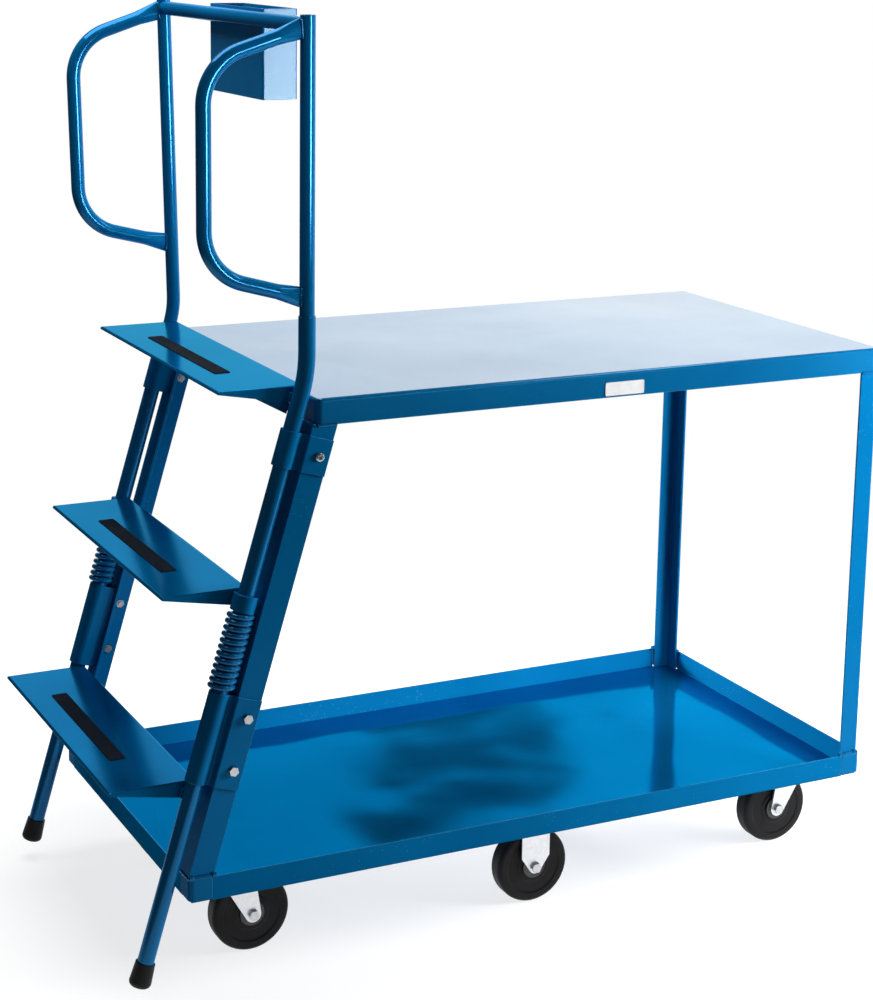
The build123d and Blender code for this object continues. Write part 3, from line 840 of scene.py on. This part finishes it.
@dataclass
class CoilSprings:
    """The two springs that lift the ladder, wound of round wire with closed ends.

    The seats of a spring, low and high, are distances up the rail.
    """

    layout: CartLayout
    paint: Material
    wire_radius: float = 0.0040
    coil_radius: float = 0.0168
    low: float = 0.49154
    high: float = 0.61665
    ladder_travel: float = 0.028666
    seat_gap: float = 0.00035
    closed_pitch: float = 0.0083
    closed_turns: float = 0.5
    ramp_turns: float = 0.5
    coils: float = 12.0
    wire_sides: int = 16
    turn_steps: int = 40
    least_steps: int = 2
    ramp_parts: int = 5
    merge_reach: float = 0.0001
    smooth_angle: float = math.radians(50)

    def pitches(self) -> list[tuple[float, float]]:
        """Lists the runs of the wire from the lower end to the upper one.

        Returns:
            Pairs of turns and rise for each turn.
        """
        rise = self.high - self.low - 2 * (self.seat_gap + self.wire_radius)
        open_turns = self.coils - 2 * self.closed_turns - 2 * self.ramp_turns
        rest = rise - (2 * self.closed_turns + self.ramp_turns) * self.closed_pitch
        open_pitch = rest / (open_turns + self.ramp_turns)
        shares = [(index + 0.5) / self.ramp_parts for index in range(self.ramp_parts)]
        step = self.ramp_turns / self.ramp_parts
        gain = open_pitch - self.closed_pitch
        ramp = [(step, self.closed_pitch + share * gain) for share in shares]
        closed = [(self.closed_turns, self.closed_pitch)]
        return closed + ramp + [(open_turns, open_pitch)] + ramp[::-1] + closed

    def wind(self, turned: float, height: float, turns: float, pitch: float) -> Object:
        """Winds one run of the wire with an even pitch.

        Args:
            turned: turns that are wound already.
            height: height of the wire's middle there.
            turns: turns of this run.
            pitch: rise for each turn.

        Returns:
            The run, open at both ends.
        """
        ModelBench.clear()
        bpy.ops.mesh.primitive_circle_add(vertices=self.wire_sides, radius=self.wire_radius,
                                          rotation=(math.pi / 2, 0.0, 0.0),
                                          location=(self.coil_radius, 0.0, height))
        run = bpy.context.object
        ModelBench.settle(run)
        screw = run.modifiers.new("wind", "SCREW")
        screw.axis = "Z"
        screw.angle = 2 * math.pi * turns
        screw.screw_offset = pitch * turns
        steps = max(self.least_steps, round(self.turn_steps * turns))
        screw.steps = steps
        screw.render_steps = steps
        screw.use_merge_vertices = False
        bpy.ops.object.modifier_apply(modifier=screw.name)
        run.rotation_euler = (0.0, 0.0, 2 * math.pi * turned)
        ModelBench.settle(run)
        return run

    def model(self) -> Object:
        """Winds the whole spring about Z, standing on zero.

        Returns:
            The spring as one closed skin.
        """
        turned = 0.0
        height = self.seat_gap + self.wire_radius
        runs = []
        for turns, pitch in self.pitches():
            runs.append(self.wind(turned, height, turns, pitch))
            turned += turns
            height += turns * pitch
        spring = ModelBench.join(runs)
        ModelBench.close_skin(spring, self.merge_reach)
        bpy.ops.object.mode_set(mode="EDIT")
        bpy.ops.mesh.select_mode(type="EDGE")
        bpy.ops.mesh.select_all(action="DESELECT")
        bpy.ops.mesh.select_non_manifold()
        bpy.ops.mesh.edge_face_add()
        bpy.ops.mesh.select_all(action="SELECT")
        bpy.ops.mesh.fill_holes(sides=self.wire_sides + 1)
        bpy.ops.object.mode_set(mode="OBJECT")
        ModelBench.close_skin(spring, self.merge_reach)
        bpy.ops.object.shade_smooth_by_angle(angle=self.smooth_angle)
        return spring

    def build(self) -> list[Object]:
        """Sets a spring on each rail and paints it.

        Returns:
            The two springs.
        """
        pattern = self.model()
        way = self.layout.rail_way
        springs = []
        for side in Side:
            seat = self.layout.on_rail(self.low, side)
            place = frame_axes(seat, self.layout.rail_front, way)
            spring = ModelBench.copy(pattern, f"spring_coil_{side.word}", place)
            spring.data.materials.append(self.paint)
            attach(spring, Body.FRAME.value)
            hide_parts(f"spring_{side.word}")
            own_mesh(spring)
            springs.append(spring)
        ModelBench.drop(pattern)
        return springs


@dataclass(frozen=True)
class Seam:
    """A straight run of weld between two pieces."""

    start: Point
    end: Point
    size: float
    up: Point = (0.0, 0.0, 1.0)


@dataclass(frozen=True)
class LegWelds:
    """Welds at the feet and heads of the legs, with tacks at the corners of the feet.

    Stretches of the front leg are measured from the shelves' front ends, and those of
    the rear leg from its rear face.
    """

    layout: CartLayout
    size: float = 0.0036
    proud: float = 0.0012
    lift: float = 0.0008
    front_foot: Span = (0.001, 0.037)
    rear_foot: Span = (-0.031, 0.0)
    rear_corner: float = 0.001
    inner_reach: float = 0.034
    inner_share: float = 0.8
    front_head: Span = (0.002, 0.033)
    rear_head: Span = (-0.031, -0.001)
    head_inset: float = 0.0005
    head_share: float = 0.7
    nose: float = -0.0030
    nose_reach: float = 0.037
    front_tacks: Span = (0.0005, 0.0365)
    rear_tacks: Span = (-0.0375, -0.0075)
    tack_length: float = 0.0070
    tack_lift: float = 0.0010
    tack_share: float = 1.25

    def run(self, x: Span, y: float, z: float, share: float = 1.0) -> Seam:
        """A level weld along the cart."""
        return Seam((x[0], y, z), (x[1], y, z), self.size * share)

    def turn(self, x: float, y: Span, z: float, share: float = 1.0) -> Seam:
        """A level weld across the cart."""
        return Seam((x, y[0], z), (x, y[1], z), self.size * share)

    def seams(self, side: Side) -> list[Seam]:
        """Lists the welds of the legs of one side.

        Args:
            side: which legs.

        Returns:
            The runs of weld.
        """
        shelf_low, shelf_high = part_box("bottom_shelf")
        head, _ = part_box("top_shelf")
        _, rear_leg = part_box(f"rear_leg_{side.word}")
        front, rear = shelf_low.x, rear_leg.x
        rim = shelf_high.z + self.lift
        flat = side.value * self.layout.leg_face
        face = flat + side.value * self.proud
        inner = flat - side.value * self.inner_reach
        under = flat - side.value * self.head_inset
        nose_end = flat - side.value * self.nose_reach
        feet = [
            self.run(shifted(self.front_foot, front), face, rim),
            self.turn(front + self.front_foot[0], (face, inner), rim, self.inner_share),
            self.run(shifted(self.rear_foot, rear), face, rim),
            self.turn(rear + self.rear_corner, (face, inner), rim),
        ]
        heads = [
            self.run(shifted(self.front_head, head.x), under, head.z, self.head_share),
            self.turn(head.x + self.nose, (flat, nose_end), head.z),
            self.run(shifted(self.rear_head, rear), under, head.z, self.head_share),
        ]
        starts = (*shifted(self.front_tacks, front), *shifted(self.rear_tacks, rear))
        tacks = [self.run((start, start + self.tack_length), face, rim + self.tack_lift, self.tack_share)
                 for start in starts]
        return feet + heads + tacks


@dataclass(frozen=True)
class LoopWelds:
    """Welds at the flattened ends of a handrail loop, one on each side of the flat.

    Each end has its height and the slant of the tube there.
    """

    layout: CartLayout
    size: float = 0.0020
    ends: tuple[tuple[float, float], ...] = ((1.4337, math.radians(17.5)), (1.0518, math.radians(-15.5)))
    half_length: float = 0.0135
    post_reach: float = 0.0108
    half_thickness: float = 0.0052
    slant_share: float = 0.25

    def seams(self, side: Side) -> list[Seam]:
        """Lists the welds of one loop.

        Args:
            side: which loop.

        Returns:
            The runs of weld.
        """
        lean = self.layout.lean(side)
        x = self.layout.post_x - self.post_reach
        seams = []
        for height, slant in self.ends:
            run = Vector((-math.sin(slant) * self.slant_share, 0.0, 1.0)) * self.half_length
            for hand in (-1, 1):
                y = side.value * self.layout.rail_y + hand * self.half_thickness
                middle = Vector((x, y, height))
                start, end = lean @ (middle - run), lean @ (middle + run)
                seams.append(Seam(tuple(start), tuple(end), self.size, (0.0, 1.0, 0.0)))
        return seams


@dataclass(frozen=True)
class TreadBead:
    """One bead at a tread's end: its place beside the rail's axis, and its reach below the tread."""

    shift: float
    proud: float
    size: float
    top: float
    bottom: float


@dataclass(frozen=True)
class TreadWelds:
    """Welds between the folded ends of a tread and the rails, in front of the rail and behind it."""

    layout: CartLayout
    beads: tuple[TreadBead, ...] = (
        TreadBead(shift=-0.0118, proud=0.0024, size=0.0030, top=0.009, bottom=0.024),
        TreadBead(shift=0.0055, proud=0.0012, size=0.0020, top=0.007, bottom=0.026),
    )

    def seams(self, tread: Tread) -> list[Seam]:
        """Lists the welds of one tread.

        Args:
            tread: which tread.

        Returns:
            The runs of weld.
        """
        _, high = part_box(tread.value)
        seams = []
        for side in Side:
            for bead in self.beads:
                y = side.value * (high.y + bead.proud)
                start, end = ((self.layout.rail_x(height) + bead.shift, y, height)
                              for height in (high.z - bead.bottom, high.z - bead.top))
                seams.append(Seam(start, end, bead.size, (0.0, 1.0, 0.0)))
        return seams


@dataclass(frozen=True)
class BoxTacks:
    """Tack welds between the crossbar and the document box, above and below the bar's middle."""

    layout: CartLayout
    size: float = 0.0017
    offsets: tuple[float, ...] = (-0.07, 0.0, 0.07)
    half_length: float = 0.009
    bar_reach: float = 0.0105
    rise: float = 0.0042

    def seams(self) -> list[Seam]:
        """Lists the tacks along the crossbar, which is turned a little as the far post leans.

        Returns:
            The runs of weld.
        """
        box_low, box_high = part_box("document_box")
        bar_low, bar_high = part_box("crossbar")
        height = (bar_low.z + bar_high.z) / 2
        lean = self.layout.lean_at(height)
        slant = math.atan2(lean, 2 * self.layout.rail_y)
        run_x, run_y = self.half_length * math.sin(slant), self.half_length
        seams = []
        for offset in self.offsets:
            y = (box_low.y + box_high.y) / 2 + offset
            x = self.layout.post_x - lean / 2 - y * math.tan(slant) + self.bar_reach
            for hand in (-1, 1):
                z = height + hand * self.rise
                seams.append(Seam((x + run_x, y - run_y, z), (x - run_x, y + run_y, z), self.size))
        return seams


@dataclass
class WeldBeads:
    """Rippled weld beads under the paint, where legs, treads and handrails are joined."""

    layout: CartLayout
    paint: Material
    sides: int = 10
    ripple: float = 0.0021
    least_ripples: int = 3
    valley: float = 0.86
    toe: float = 0.45
    unevenness: float = 0.07
    merge_share: float = 0.01
    smooth_angle: float = math.radians(60)
    patterns: dict[tuple[float, float], Object] = field(default_factory=dict)

    def model(self, length: float, size: float) -> Object:
        """Lays one bead along X, ripple by ripple.

        Args:
            length: the bead's length.
            size: the bead's radius.

        Returns:
            The bead, with its middle at the origin.
        """
        ripples = max(self.least_ripples, round(length / self.ripple))
        step = length / (2 * ripples)
        chance = random.Random(ripples)
        ModelBench.clear()
        bpy.ops.mesh.primitive_circle_add(vertices=self.sides, radius=size * self.toe, fill_type="NGON",
                                          rotation=(0.0, math.pi / 2, 0.0),
                                          location=(-length / 2, 0.0, 0.0))
        bead = bpy.context.object
        ModelBench.settle(bead)
        bpy.ops.object.mode_set(mode="EDIT")
        bpy.ops.mesh.select_mode(type="FACE")
        bpy.ops.mesh.select_all(action="SELECT")
        reached, width = -length / 2, self.toe
        for index in range(2 * ripples):
            last = index == 2 * ripples - 1
            crest = 1.0 if index % 2 == 0 else self.valley
            target = self.toe if last else crest + chance.uniform(-self.unevenness, self.unevenness)
            bpy.ops.mesh.extrude_region_move(TRANSFORM_OT_translate={"value": (step, 0.0, 0.0)})
            reached += step
            grow = target / width
            bpy.ops.transform.resize(value=(1.0, grow, grow), center_override=(reached, 0.0, 0.0))
            width = target
        bpy.ops.object.mode_set(mode="OBJECT")
        ModelBench.close_skin(bead, size * self.merge_share)
        bpy.ops.object.shade_smooth_by_angle(angle=self.smooth_angle)
        return bead

    def pattern(self, length: float, size: float) -> Object:
        """Finds the bead of a length and size, and models it the first time.

        Args:
            length: the bead's length.
            size: the bead's radius.

        Returns:
            The bead.
        """
        key = (round(length, 4), round(size, 5))
        if key not in self.patterns:
            self.patterns[key] = self.model(length, size)
        return self.patterns[key]

    def lay(self, name: str, seams: list[Seam], body: Body) -> Object:
        """Lays the beads of one joint and joins them to one piece.

        Args:
            name: the piece's name.
            seams: the runs of weld.
            body: what the beads ride on.

        Returns:
            The beads as one piece.
        """
        beads = []
        for index, seam in enumerate(seams):
            start, end = Vector(seam.start), Vector(seam.end)
            pattern = self.pattern((end - start).length, seam.size)
            place = frame_axes((start + end) / 2, end - start, Vector(seam.up))
            beads.append(ModelBench.copy(pattern, f"{name}.{index}", place))
        piece = ModelBench.join(beads)
        piece.name = name
        piece.data.name = name
        piece.data.materials.append(self.paint)
        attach(piece, body.value)
        return piece

    def build(self) -> list[Object]:
        """Lays every weld of the cart.

        Returns:
            The welds, one piece for each joint.
        """
        legs, loops, treads = LegWelds(self.layout), LoopWelds(self.layout), TreadWelds(self.layout)
        pieces = []
        for side in Side:
            pieces.append(self.lay(f"leg_welds_{side.word}", legs.seams(side), Body.FRAME))
            pieces.append(self.lay(f"loop_welds_{side.word}", loops.seams(side), Body.LADDER))
        for tread in Tread:
            pieces.append(self.lay(f"{tread.value}_welds", treads.seams(tread), Body.LADDER))
        pieces.append(self.lay("box_tacks", BoxTacks(self.layout).seams(), Body.LADDER))
        for pattern in self.patterns.values():
            ModelBench.drop(pattern)
        return pieces


@dataclass
class BarePlate:
    """Bare white plate on the near edge of the top shelf."""

    finish: Material
    middle_x: float = 0.1706
    below_top: float = 0.0265
    width: float = 0.070
    height: float = 0.0215
    thickness: float = 0.0010
    corner: float = 0.0025
    corner_parts: int = 6
    border: float = 0.0012
    sunk: float = 0.0002
    facing_front: float = -0.9
    merge_reach: float = 0.00001
    smooth_angle: float = math.radians(35)

    def build(self) -> Object:
        """Models the plate with round corners, a soft rim and a sunk field.

        Returns:
            The plate.
        """
        shelf_low, shelf_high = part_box("top_shelf")
        middle = (self.middle_x, shelf_low.y - self.thickness / 2, shelf_high.z - self.below_top)
        ModelBench.clear()
        bpy.ops.mesh.primitive_cube_add(size=1.0, location=middle)
        plate = bpy.context.object
        plate.scale = (self.width, self.thickness, self.height)
        plate.name = "bare_plate"
        plate.data.name = "bare_plate"
        ModelBench.settle(plate)

        def is_corner(edge: MeshEdge) -> bool:
            """Whether an edge runs through the plate's thickness."""
            front, back = (plate.data.vertices[index].co.y for index in edge.vertices)
            return abs(front - back) > self.thickness / 2

        ModelBench.select(plate, Pick.EDGE, is_corner)
        bpy.ops.mesh.bevel(offset=self.corner, segments=self.corner_parts, affect="EDGES")
        bpy.ops.object.mode_set(mode="OBJECT")
        ModelBench.select(plate, Pick.FACE, lambda face: face.normal.y < self.facing_front)
        bpy.ops.mesh.inset(thickness=self.sunk, depth=0.0)
        bpy.ops.mesh.inset(thickness=self.border, depth=0.0)
        bpy.ops.mesh.extrude_region_move(TRANSFORM_OT_translate={"value": (0.0, self.sunk, 0.0)})
        bpy.ops.object.mode_set(mode="OBJECT")
        ModelBench.close_skin(plate, self.merge_reach)
        bpy.ops.object.shade_smooth_by_angle(angle=self.smooth_angle)
        plate.data.materials.append(self.finish)
        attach(plate, Body.FRAME.value)
        return plate


@dataclass
class CartDress:
    """The cart's finishes, and which of them each solid of the frame wears."""

    finishes: dict[Look, Material] = field(default_factory=dict)

    def look_of(self, node: str, slot: Slot) -> Look:
        """Picks the look of a node.

        Args:
            node: the node's name.
            slot: the record's slot of that node.

        Returns:
            The look.
        """
        own = {tread.value: Look.TREAD for tread in Tread}
        own |= {"top_shelf": Look.TOP_SHEET, "bottom_shelf": Look.PAN_SHEET, "document_box": Look.BOX_SHEET}
        if node.startswith(("rail_", "post_", "loop_", "crossbar")):
            return Look.TUBE
        return own.get(node, Look[slot.name])

    def build(self) -> int:
        """Makes the finishes and gives every node of the frame its own.

        Returns:
            How many nodes were dressed.
        """
        self.finishes = {look: look.value.make() for look in Look}
        slots = {row["node"]: Slot(row["material_slot"]) for row in frame["record"]["subparts"]}
        for node, piece in frame["nodes"].items():
            finish = self.finishes[self.look_of(node, slots[node])]
            if not piece.material_slots:
                piece.data.materials.append(finish)
            for place in piece.material_slots:
                place.material = finish
        return len(frame["nodes"])


@dataclass(frozen=True)
class Panel:
    """A soft light panel of the studio, its power in watts.

    Glossy says whether reflections show it, and diffuse whether it lights the paint itself.
    """

    name: str
    place: Point
    aim: Point
    width: float
    height: float
    power: float
    spread: float = math.pi
    glossy: bool = True
    diffuse: bool = True

    def hang(self) -> None:
        """Hangs the panel in its place and turns it to its aim."""
        ModelBench.clear()
        bpy.ops.object.light_add(type="AREA", location=self.place)
        lamp = bpy.context.object
        lamp.name = self.name
        lamp.data.shape = "RECTANGLE"
        lamp.data.size = self.width
        lamp.data.size_y = self.height
        lamp.data.energy = self.power
        lamp.data.spread = self.spread
        lamp.visible_camera = False
        lamp.visible_glossy = self.glossy
        lamp.visible_diffuse = self.diffuse
        way = Vector(self.aim) - Vector(self.place)
        lamp.rotation_euler = way.to_track_quat("-Z", "Y").to_euler()


@dataclass
class Studio:
    """Pale floor, white surroundings, soft panels and the camera.

    The camera sees the surroundings white. Reflections see them bright towards the
    bright way and dim away from it, a little dimmer low down, much dimmer high up, and
    dark at one small flag. The lens and the sensor are in millimetres.
    """

    floor_radius: float = 2.3
    floor_sides: int = 128
    floor_drop: float = 0.0004
    floor_fade: float = 1.2
    floor_pale: Colour = (0.42, 0.42, 0.42)
    floor_dark: Colour = (0.4116, 0.4116, 0.4116)
    floor_speck: Cloud = Cloud(260.0, 3.0)
    speck_span: Span = (0.3, 0.7)
    glow_colour: Colour = (0.96, 0.96, 0.96)
    glow_span: Span = (0.6, 1.2)
    floor_glow: float = 0.80
    floor_mirror: float = 0.75
    ambient: float = 0.07
    bright_way: Point = (0.85, 0.53, 0.0)
    bright_stops: tuple[tuple[float, float], ...] = (
        (0.45, 0.05), (0.58, 0.45), (0.68, 0.74), (0.77, 0.77), (0.84, 0.88), (0.90, 1.0),
    )
    low_band: tuple[Span, Span] = ((0.225, 0.29), (1.30, 1.42))
    high_band: tuple[Span, Span] = ((0.42, 0.62), (1.0, 0.3))
    flag_way: Point = (0.4225, 0.8303, 0.3635)
    flag_band: tuple[Span, Span] = ((0.99824, 0.99926), (1.0, 0.03))
    panels: tuple[Panel, ...] = (
        Panel("key_panel", place=(1.5, -0.85, 1.0), aim=(0.15, 0.0, 0.4), width=0.9, height=0.8,
              power=48.0, glossy=False),
        Panel("top_panel", place=(-0.45, 0.3, 2.2), aim=(-0.45, 0.3, 0.5), width=1.2, height=1.0,
              power=22.0),
        Panel("glint_panel", place=(0.9, -2.0, 1.3), aim=(-0.55, -0.285, 0.48), width=0.4, height=0.4,
              power=0.027, spread=math.radians(22.0), diffuse=False),
        Panel("edge_panel", place=(1.0, -0.6, 2.2), aim=(0.0, -0.3, 0.2), width=1.2, height=0.3,
              power=4.5, diffuse=False),
        Panel("front_panel", place=(0.92, -2.4, 1.28), aim=(-0.38, 0.0, 1.60), width=0.9, height=0.85,
              power=1.4, spread=math.radians(20.0)),
        Panel("under_panel", place=(0.12, -0.28, 0.33), aim=(0.12, 0.30, 0.18), width=0.95, height=0.05,
              power=0.45, spread=math.radians(40.0), glossy=False),
        Panel("back_panel", place=(-0.9, 1.9, 0.8), aim=(0.67, 0.0, 0.17), width=0.5, height=0.5,
              power=6.0, spread=math.radians(40.0), glossy=False),
    )
    camera_place: Point = (-1.56581, -3.11340, 1.59141)
    yaw: float = 0.4639
    pitch: float = 0.2035
    roll: float = 0.0156
    lens: float = 77.79
    sensor: float = 36.0
    shift_y: float = -0.138

    def floor_finish(self) -> Material:
        """Makes the finish of the floor, which keeps shadows, looks white and fades out at its rim.

        Returns:
            The material.
        """
        material, bench = new_material("pale_floor")
        speck = bench.noise(self.floor_speck)
        pale = bench.fade(speck, self.speck_span, self.floor_dark, self.floor_pale)
        matt = bench.add("BsdfDiffuse", {"Color": pale})
        path = bench.add("LightPath")
        seen = bench.math("MAXIMUM", path.outputs["Is Camera Ray"], path.outputs["Is Transmission Ray"])
        reach = bench.add("VectorMath", {0: bench.place}, operation="LENGTH").outputs["Value"]
        shown = bench.times(seen, bench.span(reach, self.glow_span, (self.floor_glow, 1.0)))
        mirrored = bench.times(path.outputs["Is Glossy Ray"], self.floor_mirror)
        strength = bench.math("ADD", shown, mirrored)
        glow = bench.add("Emission", {"Color": self.glow_colour, "Strength": strength})
        lit = bench.add("AddShader", {0: matt.outputs["BSDF"], 1: glow.outputs["Emission"]})
        sockets = {"Value": reach, "From Min": self.floor_fade, "From Max": self.floor_radius}
        fade = bench.add("MapRange", sockets, interpolation_type="SMOOTHSTEP").outputs["Result"]
        clear = bench.add("BsdfTransparent").outputs["BSDF"]
        blend = bench.add("MixShader", {0: fade, 1: lit.outputs["Shader"], 2: clear})
        bench.add("OutputMaterial", {"Surface": blend.outputs["Shader"]})
        return material

    def lay_floor(self) -> None:
        """Lays the round floor just under the wheels."""
        ModelBench.clear()
        bpy.ops.mesh.primitive_circle_add(vertices=self.floor_sides, radius=self.floor_radius,
                                          fill_type="NGON", location=(0.0, 0.0, -self.floor_drop))
        floor = bpy.context.object
        floor.name = "studio_floor"
        ModelBench.settle(floor)
        floor.data.materials.append(self.floor_finish())

    def light_world(self) -> None:
        """Makes the surroundings, white to the camera and shaded in reflections."""
        world = bpy.data.worlds.new("studio_world")
        bpy.context.scene.world = world
        world.use_nodes = True
        bench = NodeBench(world.node_tree)
        way = bench.add("TexCoord").outputs["Generated"]
        height = bench.add("SeparateXYZ", {"Vector": way}).outputs["Z"]
        aims = (self.bright_way, self.flag_way)
        bright, flag = (bench.dot(way, Vector(aim).normalized()) for aim in aims)
        mirrored = bench.ramp(bright, [(place, (grey, grey, grey)) for place, grey in self.bright_stops])
        for value, band in ((height, self.low_band), (height, self.high_band), (flag, self.flag_band)):
            mirrored = bench.times(mirrored, bench.span(value, *band))
        path = bench.add("LightPath")
        glossy = path.outputs["Is Glossy Ray"]
        plain = bench.math("MAXIMUM", path.outputs["Is Camera Ray"], path.outputs["Is Transmission Ray"])
        soft = bench.math("SUBTRACT", 1.0, bench.math("MAXIMUM", glossy, plain))
        level = bench.math("ADD", plain, bench.times(glossy, mirrored))
        level = bench.math("ADD", level, bench.times(soft, self.ambient))
        sky = bench.add("Background", {"Color": (1.0, 1.0, 1.0), "Strength": level})
        bench.add("OutputWorld", {"Surface": sky.outputs["Background"]})

    def set_camera(self) -> None:
        """Sets the camera at the photograph's viewing angle."""
        ModelBench.clear()
        bpy.ops.object.camera_add()
        camera = bpy.context.object
        camera.name = "photo_camera"
        level = math.cos(self.pitch)
        look = Vector((math.sin(self.yaw) * level, math.cos(self.yaw) * level, -math.sin(self.pitch)))
        right = Vector((math.cos(self.yaw), -math.sin(self.yaw), 0.0))
        up = right.cross(look)
        turned_right = right * math.cos(self.roll) + up * math.sin(self.roll)
        turned_up = up * math.cos(self.roll) - right * math.sin(self.roll)
        turn = Matrix((turned_right, turned_up, -look)).transposed().to_4x4()
        camera.matrix_world = Matrix.Translation(self.camera_place) @ turn
        camera.data.lens = self.lens
        camera.data.sensor_width = self.sensor
        camera.data.shift_y = self.shift_y
        camera.data.dof.use_dof = False
        bpy.context.scene.camera = camera

    def build(self) -> None:
        """Sets up the whole studio."""
        self.lay_floor()
        self.light_world()
        for panel in self.panels:
            panel.hang()
        self.set_camera()
        bpy.context.scene.view_settings.view_transform = "Standard"


def main() -> None:
    """Builds the cart's visual model piece by piece."""
    logging.basicConfig(level=logging.INFO, format="%(name)s: %(message)s")
    dress = CartDress()
    log.info("dressed %d nodes of the frame", dress.build())
    layout = CartLayout.of_frame()
    for spring in CoilSprings(layout, dress.finishes[Look.WELD]).build():
        log.info("spring %s: %d faces", spring.name, len(spring.data.polygons))
    for beads in WeldBeads(layout, dress.finishes[Look.WELD]).build():
        log.info("weld %s: %d faces", beads.name, len(beads.data.polygons))
    log.info("plate %s", BarePlate(dress.finishes[Look.PLATE]).build().name)
    Studio().build()


if __name__ == "__main__":
    main()
